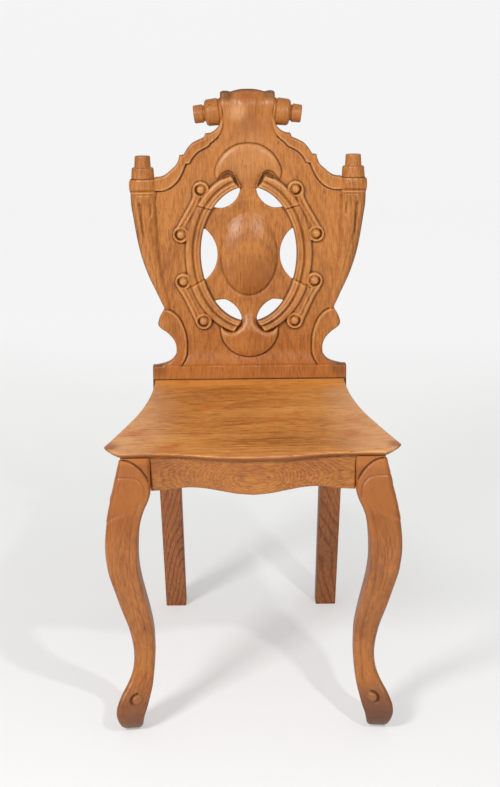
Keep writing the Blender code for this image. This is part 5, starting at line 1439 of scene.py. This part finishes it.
@dataclass(frozen=True)
class Oak:
    """Oak finish: screen colours from 0 to 255, the grain's way and figure, what age did to it, and some
    painted shade and highlights.
    """

    name: str
    light: Triple
    middle: Triple
    dark: Triple
    grain: Grain = Grain.UPRIGHT
    pith: float = 0.06
    lean: float = 0.10
    ring_width: float = 0.006
    ring_depth: float = 0.05
    sway: float = 0.02
    shift: Triple = (0.0, 0.0, 0.0)
    stain: Triple = (128, 72, 34)
    stain_strength: float = 0.35
    pore_strength: float = 0.7
    drift_strength: float = 0.30
    spot_drift: float = 0.03
    speck_strength: float = 0.45
    # Colour of the dark specks, and of the dirt and painted shade in the hollows
    dirt: Triple = (78, 42, 20)
    dirt_and_shade_strength: float = 0.8
    rubbed: Triple = (212, 158, 100)
    rubbed_strength: float = 0.45
    roughness: float = 0.38
    dirt_and_shade_roughness: float = 0.25
    pore_roughness: float = 0.12
    gloss: float = 0.40
    tints: tuple[Tint, ...] = ()
    spots: tuple[Spot, ...] = ()
    plain: bool = False
    fineness: Triple = (1.0, 1.0, 1.0)

    def material(self, effects: SharedEffects) -> Material:
        """Builds the finish as a shader on Object coordinates."""
        made, sheet = Sheet.of_material(self.name)
        where = sheet.node("TexCoord").outputs["Object"]
        plank = where if self.plain else sheet.node("Attribute", attribute_name="grain").outputs["Vector"]
        turn = {"Vector": plank, "Location": self.shift, "Rotation": self.grain.value}
        turned = sheet.stretched(sheet.node("Mapping", turn).outputs[0], self.fineness)
        pattern = {
            "Vector": turned, "Pith": self.pith, "Lean": self.lean, "Ring Width": self.ring_width,
            "Ring Depth": self.ring_depth, "Sway": self.sway,
        }
        figure = sheet.node("Group", pattern, node_tree=effects.figure).outputs
        dirt = sheet.node("Group", {"Vector": where}, node_tree=effects.dirt).outputs
        age = sheet.node("Group", {"Vector": where}, node_tree=effects.age).outputs
        ramp = sheet.node("ValToRGB", {"Fac": figure["Tone"]})
        ramp.color_ramp.elements[0].color = linear(self.dark)
        ramp.color_ramp.elements[1].color = linear(self.light)
        ramp.color_ramp.elements.new(0.5).color = linear(self.middle)
        drift = age["Drift"]
        layers = [(sheet.rise(drift, 0.35, 0.68, 0.0, self.drift_strength), self.light)]
        axes = sheet.node("SeparateXYZ", {0: where}).outputs
        for tint in self.tints:
            value = sheet.calc("ABSOLUTE", axes[tint.axis]) if tint.both_ways else axes[tint.axis]
            value = sheet.swayed(value, drift, tint.drift)
            layers.append((sheet.rise(value, tint.start, tint.stop, 0.0, tint.strength), tint.colour))
        for spot in self.spots:
            away = sheet.node("VectorMath", {0: where, 1: spot.centre}, operation="DISTANCE").outputs["Value"]
            away = sheet.swayed(away, drift, self.spot_drift)
            mask = sheet.rise(away, spot.radius, spot.radius * 0.2, 0.0, spot.strength)
            layers.append((mask, spot.colour))
        for mask, strength, tone in (
            (age["Stain"], self.stain_strength, self.stain),
            (figure["Pores"], self.pore_strength, self.dark),
            (age["Specks"], self.speck_strength, self.dirt),
            (dirt["Rubbed"], self.rubbed_strength, self.rubbed),
            # Dirt and painted shade in the carving's hollows
            (dirt["Sunk"], self.dirt_and_shade_strength, self.dirt),
        ):
            layers.append((sheet.calc("MULTIPLY", mask, strength), tone))
        colour = ramp.outputs["Color"]
        for share, tone in layers:
            colour = sheet.blend(share, colour, linear(tone))
        rough = sheet.calc("MULTIPLY_ADD", dirt["Sunk"], self.dirt_and_shade_roughness, self.roughness)
        rough = sheet.calc("MULTIPLY_ADD", figure["Pores"], self.pore_roughness, rough)
        relief = sheet.node("Bump", {"Strength": 0.22, "Distance": 0.0004, "Height": figure["Height"]})
        given = {"Base Color": colour, "Roughness": rough, "Normal": relief.outputs[0]}
        shader = sheet.node("BsdfPrincipled", {**given, "Specular IOR Level": self.gloss})
        sheet.node("OutputMaterial", {"Surface": shader.outputs[0]})
        return made


@dataclass(frozen=True)
class Steel:
    """Old steel of the screws."""

    name: str = "old_screw_steel"
    colour: Triple = (148, 142, 132)
    rust: Triple = (96, 66, 46)
    roughness: float = 0.42

    def material(self) -> Material:
        """Grey metal, mottled by rust."""
        made, sheet = Sheet.of_material(self.name)
        where = sheet.node("TexCoord").outputs["Object"]
        mottle = sheet.rise(sheet.noise(where, 400.0, 4.0), 0.45, 0.7)
        colour = sheet.blend(mottle, linear(self.colour), linear(self.rust))
        rough = sheet.calc("MULTIPLY_ADD", mottle, 0.3, self.roughness)
        metal = sheet.rise(mottle, 0.9, 0.1, 0.2, 0.95)
        shader = sheet.node("BsdfPrincipled", {"Base Color": colour, "Roughness": rough, "Metallic": metal})
        sheet.node("OutputMaterial", {"Surface": shader.outputs[0]})
        return made


SEAT_OAK = Oak(
    "seat_oak", (212, 150, 80), (184, 116, 48), (116, 58, 18), Grain.ACROSS, 0.02, 0.05, 0.004, 0.07, 0.02,
    stain=(180, 92, 24), stain_strength=0.70, pore_strength=0.62, roughness=0.42, fineness=(0.62, 0.62, 1.1),
    tints=(
        # Pale worn wood and painted sheen towards both ends of the seat
        Tint(0, 0.11, 0.195, (214, 156, 100), 0.65, True),
        Tint(1, 0.075, 0.105, (220, 144, 60), 0.65),
        # Pale worn wood and painted sheen along the front edge
        Tint(1, -0.235, -0.258, (196, 134, 84), 0.35),
        # Painted shade: the lower half of the seat's rounded nose darkened, where it turns under
        Tint(2, 0.4490, 0.4468, (120, 62, 32), 0.60, drift=0.006),
        # Painted shadow: a dark line along the seat's rear, where it meets the back
        Tint(1, 0.1290, 0.1318, (70, 34, 14), 0.80, drift=0.004),
    ),
    spots=tuple(Spot((x, -0.206, 0.4470), 0.020, (134, 66, 34), 0.75) for x in (-0.208, 0.208)),
    rubbed=(216, 168, 122),
)
BACK_OAK = Oak(
    "back_oak", (190, 126, 62), (164, 100, 43), (108, 57, 21), Grain.UPRIGHT, 0.09, 0.05, 0.005, 0.06,
    pore_strength=0.6,
    tints=(
        Tint(2, 0.60, 0.46, (168, 98, 42), 0.40),
        Tint(2, 0.80, 0.88, (158, 94, 40), 0.5),
        # Painted shadow: a dark line along the foot of the back, where it meets the seat
        Tint(2, 0.4524, 0.4504, (58, 28, 12), 0.85, drift=0.004),
    ),
    spots=(
        Spot((0.0, 0.176, 0.920), 0.026, (148, 74, 26), 0.7),
        # Stains and painted shade in the hollows beside the crest's humps
        Spot((-0.036, 0.174, 0.913), 0.018, (92, 48, 24), 0.85),
        Spot((0.037, 0.174, 0.913), 0.017, (88, 46, 24), 0.85),
        # Painted highlight on the neck, left of its middle
        Spot((-0.016, 0.158, 0.885), 0.022, (216, 164, 118), 0.5),
        # Painted shade over the lower half of the dome
        Spot((0.012, 0.130, 0.622), 0.060, (132, 74, 28), 0.55),
        Spot((0.0, 0.160, 0.815), 0.070, (204, 146, 92), 0.25),
        Spot((-0.150, 0.135, 0.468), 0.022, (92, 50, 24), 0.55),
        Spot((0.150, 0.135, 0.468), 0.022, (92, 50, 24), 0.55),
    ),
)
APRON_OAK = Oak(
    "apron_oak", (186, 122, 56), (156, 92, 38), (104, 54, 20), Grain.ACROSS, 0.2866, 0.0, 0.0020, 0.11, 0.005,
    (-0.413, 0.0, 0.0), pore_strength=0.6, fineness=(1.0, 1.0, 1.8),
)
LEG_OAK = Oak(
    "leg_oak", (182, 116, 54), (154, 90, 38), (106, 56, 22), Grain.UPRIGHT, 0.07, 0.09, 0.005, 0.05,
    pore_strength=0.6, fineness=(1.1, 1.1, 1.6), rubbed=(180, 112, 54), rubbed_strength=0.25,
    stain=(118, 58, 22), stain_strength=0.60,
    tints=(
        Tint(2, 0.10, 0.02, (104, 66, 46), 0.70),
        Tint(2, 0.29, 0.37, (138, 75, 27), 0.72),
        Tint(2, 0.424, 0.434, (182, 114, 56), 0.50),
        # Painted shade: the right-hand leg darker, on the side away from the key lamp
        Tint(0, 0.10, 0.24, (120, 70, 36), 0.25),
    ),
    # Painted shade: the right foot darker still
    spots=(Spot((0.190, -0.235, 0.020), 0.085, (90, 54, 38), 0.72),),
)
REAR_LEG_OAK = Oak(
    "rear_leg_oak", (178, 112, 62), (148, 86, 44), (96, 50, 26), Grain.UPRIGHT, -0.02, 0.30, 0.0056, 0.17,
    0.09, stain_strength=0.5, roughness=0.48, pore_strength=0.5, fineness=(1.0, 1.0, 1.3),
)
FRAME_OAK = Oak(
    "frame_oak", (184, 120, 62), (156, 94, 42), (108, 58, 24), Grain.BACKWARDS, 0.05, 0.06, 0.006, plain=True
)
BARE_OAK = Oak("bare_oak", (208, 166, 112), (184, 138, 88), (146, 100, 58), roughness=0.66, plain=True)


@dataclass(frozen=True)
class Dressing:
    """Gives every shown piece its finish."""

    def dress(self, pieces: Sequence[Piece], material: Material) -> None:
        """Puts a finish on new pieces."""
        for piece in pieces:
            piece.data.materials.clear()
            piece.data.materials.append(material)

    def dress_plain(self, finishes: dict[str, Material]) -> None:
        """Puts finishes into the slots of the plain pieces that stay in view."""
        for _, node in sorted(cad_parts.items()):
            for place in node.material_slots:
                key = place.material.name.split(".")[0] if place.material else ""
                place.material = finishes.get(key, finishes["oak_frame"])
        LOG.info("plain pieces dressed: %d", len(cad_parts))


# Stage


@dataclass(frozen=True)
class Studio:
    """Pale sweep, soft lamps and camera."""

    focal: float = 1530.0
    long_side: float = 787.0
    eye: Triple = (-0.0262, -2.3043, 1.170)
    pitch: float = 17.0
    yaw: float = 0.62
    roll: float = -0.43
    sweep_colour: Triple = (242, 242, 241)
    wall_colour: Triple = (253, 253, 253)
    wall_foot: float = 4.2
    wall_turn: float = 1.2
    wall_height: float = 6.0
    sweep_front: float = -7.0
    half_width: float = 6.0
    sensor: float = 36.0
    room_light: float = 0.44
    wall_shade_from: Pair = (0.9, 2.4)
    glow_behind: tuple[Pair, Pair] = ((0.0, 1.3), (0.4, 0.8))
    glow_beside: tuple[Pair, Pair] = ((0.08, 0.5), (0.0, 0.3))
    most_glow: float = 0.8

    def build_sweep(self) -> Piece:
        """Floor that turns up into a wall: straight, a quarter circle, and straight again."""
        turn = np.linspace(0, math.pi / 2, 24)
        wall = self.wall_foot + self.wall_turn
        y = np.concatenate([[self.sweep_front], self.wall_foot + self.wall_turn * np.sin(turn), [wall]])
        z = np.concatenate([[0.0], self.wall_turn - self.wall_turn * np.cos(turn), [self.wall_height]])
        x = np.linspace(-self.half_width, self.half_width, 13)
        shape = (len(y), len(x))
        grid = [np.broadcast_to(v, shape) for v in (x[None], y[:, None], z[:, None])]
        points = np.stack(grid, -1).reshape(-1, 3)
        sweep = make_object("sweep", points, [cells(*shape)], np.zeros(len(points)), 60)
        paper, sheet = Sheet.of_material("sweep_paper")
        axes = sheet.node("SeparateXYZ", {0: sheet.node("TexCoord").outputs["Object"]}).outputs
        far = sheet.rise(axes[1], *self.wall_shade_from)
        behind, beside = self.glow_behind, self.glow_beside
        glows = sheet.rise(axes[1], *behind[0], *behind[1]), sheet.rise(axes[0], *beside[0], *beside[1])
        share = sheet.calc("MINIMUM", sheet.calc("ADD", *glows), self.most_glow)
        colour = sheet.blend(far, linear(self.sweep_colour), linear(self.wall_colour))
        matt = sheet.node("BsdfDiffuse", {"Color": colour})
        glow = sheet.node("Emission", {"Color": colour, "Strength": 1.0})
        rays = sheet.node("LightPath").outputs
        seen = sheet.calc("MAXIMUM", rays["Is Camera Ray"], rays["Is Transmission Ray"])
        parts = {0: sheet.calc("MULTIPLY", seen, share), 1: matt.outputs[0], 2: glow.outputs[0]}
        sheet.node("OutputMaterial", {"Surface": sheet.node("MixShader", parts).outputs[0]})
        sweep.data.materials.append(paper)
        return sweep

    def lamp(self, name: str, place: Triple, aim: Triple, size: Pair, power: float) -> Piece:
        """Adds a soft lamp.

        Args:
            name: Its name.
            place: Where it hangs.
            aim: What it points at.
            size: Its width and height.
            power: Watts.

        Returns:
            The lamp.
        """
        data = bpy.data.lights.new(name, "AREA")
        data.shape = "RECTANGLE"
        data.size, data.size_y = size
        data.energy = power
        lamp = bpy.data.objects.new(name, data)
        lamp.location = place
        lamp.rotation_mode = "QUATERNION"
        lamp.rotation_quaternion = (Vector(aim) - Vector(place)).to_track_quat("-Z", "Y")
        bpy.context.scene.collection.objects.link(lamp)
        return lamp

    def build_lamps(self) -> None:
        """Hangs a soft lamp to the front left and a small one to the front right, in a pale room."""
        self.lamp("key_lamp", (-1.75, -2.5, 2.5), (0.0, 0.2, 0.4), (0.7, 0.7), 92.0)
        self.lamp("small_lamp", (0.70, -1.50, 1.75), (0.0, 0.3, 0.2), (0.09, 0.09), 15.0)
        world = bpy.data.worlds.new("pale_room")
        bpy.context.scene.world = world
        world.use_nodes = True
        sheet = Sheet(world.node_tree)
        glow = sheet.node("Background", {"Color": (1.0, 1.0, 1.0, 1.0), "Strength": self.room_light})
        sheet.node("OutputWorld", {"Surface": glow.outputs[0]})

    def build_camera(self) -> Piece:
        """Sets the camera at the measured place, turned by its yaw, pitch and roll."""
        yaw, pitch, roll = (math.radians(v) for v in (self.yaw, self.pitch, self.roll))
        forward = Vector((math.sin(yaw) * math.cos(pitch), math.cos(yaw) * math.cos(pitch), -math.sin(pitch)))
        right = Vector((math.cos(yaw), -math.sin(yaw), 0.0))
        up = right.cross(forward)
        turned_right = right * math.cos(roll) + up * math.sin(roll)
        turned_up = up * math.cos(roll) - right * math.sin(roll)
        data = bpy.data.cameras.new("view_camera")
        data.sensor_fit = "AUTO"
        data.sensor_width = self.sensor
        data.lens = self.focal * self.sensor / self.long_side
        data.clip_start, data.clip_end = 0.05, 60.0
        camera = bpy.data.objects.new("view_camera", data)
        basis = Matrix((turned_right, turned_up, -forward)).transposed().to_4x4()
        camera.matrix_world = Matrix.Translation(self.eye) @ basis
        bpy.context.scene.collection.objects.link(camera)
        bpy.context.scene.camera = camera
        return camera

    def build(self) -> None:
        """Makes the sweep, the lamps and the camera."""
        self.build_sweep()
        self.build_lamps()
        self.build_camera()
        bpy.context.scene.view_settings.view_transform = "Standard"
        LOG.info("stage ready")


def main() -> None:
    """Builds every piece, dresses it and sets the stage."""
    logging.basicConfig(level=logging.INFO, format="%(message)s")
    effects = SharedEffects()
    dressing = Dressing()
    back = CarvedBack()
    back_oak = BACK_OAK.material(effects)
    dressing.dress(back.build(), back_oak)
    dressing.dress([back.build_rear_roll()], back_oak)
    dressing.dress(TurnedParts().build(), back_oak)
    dressing.dress(Seat().build(), SEAT_OAK.material(effects))
    dressing.dress(Apron().build(), APRON_OAK.material(effects))
    leg_oak, rear_leg_oak = LEG_OAK.material(effects), REAR_LEG_OAK.material(effects)
    for side, name in ((-1, "left"), (1, "right")):
        dressing.dress([FrontLeg().build(side, name)], leg_oak)
        dressing.dress([RearLeg().build(side, name)], rear_leg_oak)
    finishes = {"oak_frame": FRAME_OAK.material(effects), "bare_wood": BARE_OAK.material(effects)}
    dressing.dress_plain({**finishes, "screw_steel": Steel().material()})
    Studio().build()


if __name__ == "__main__":
    main()
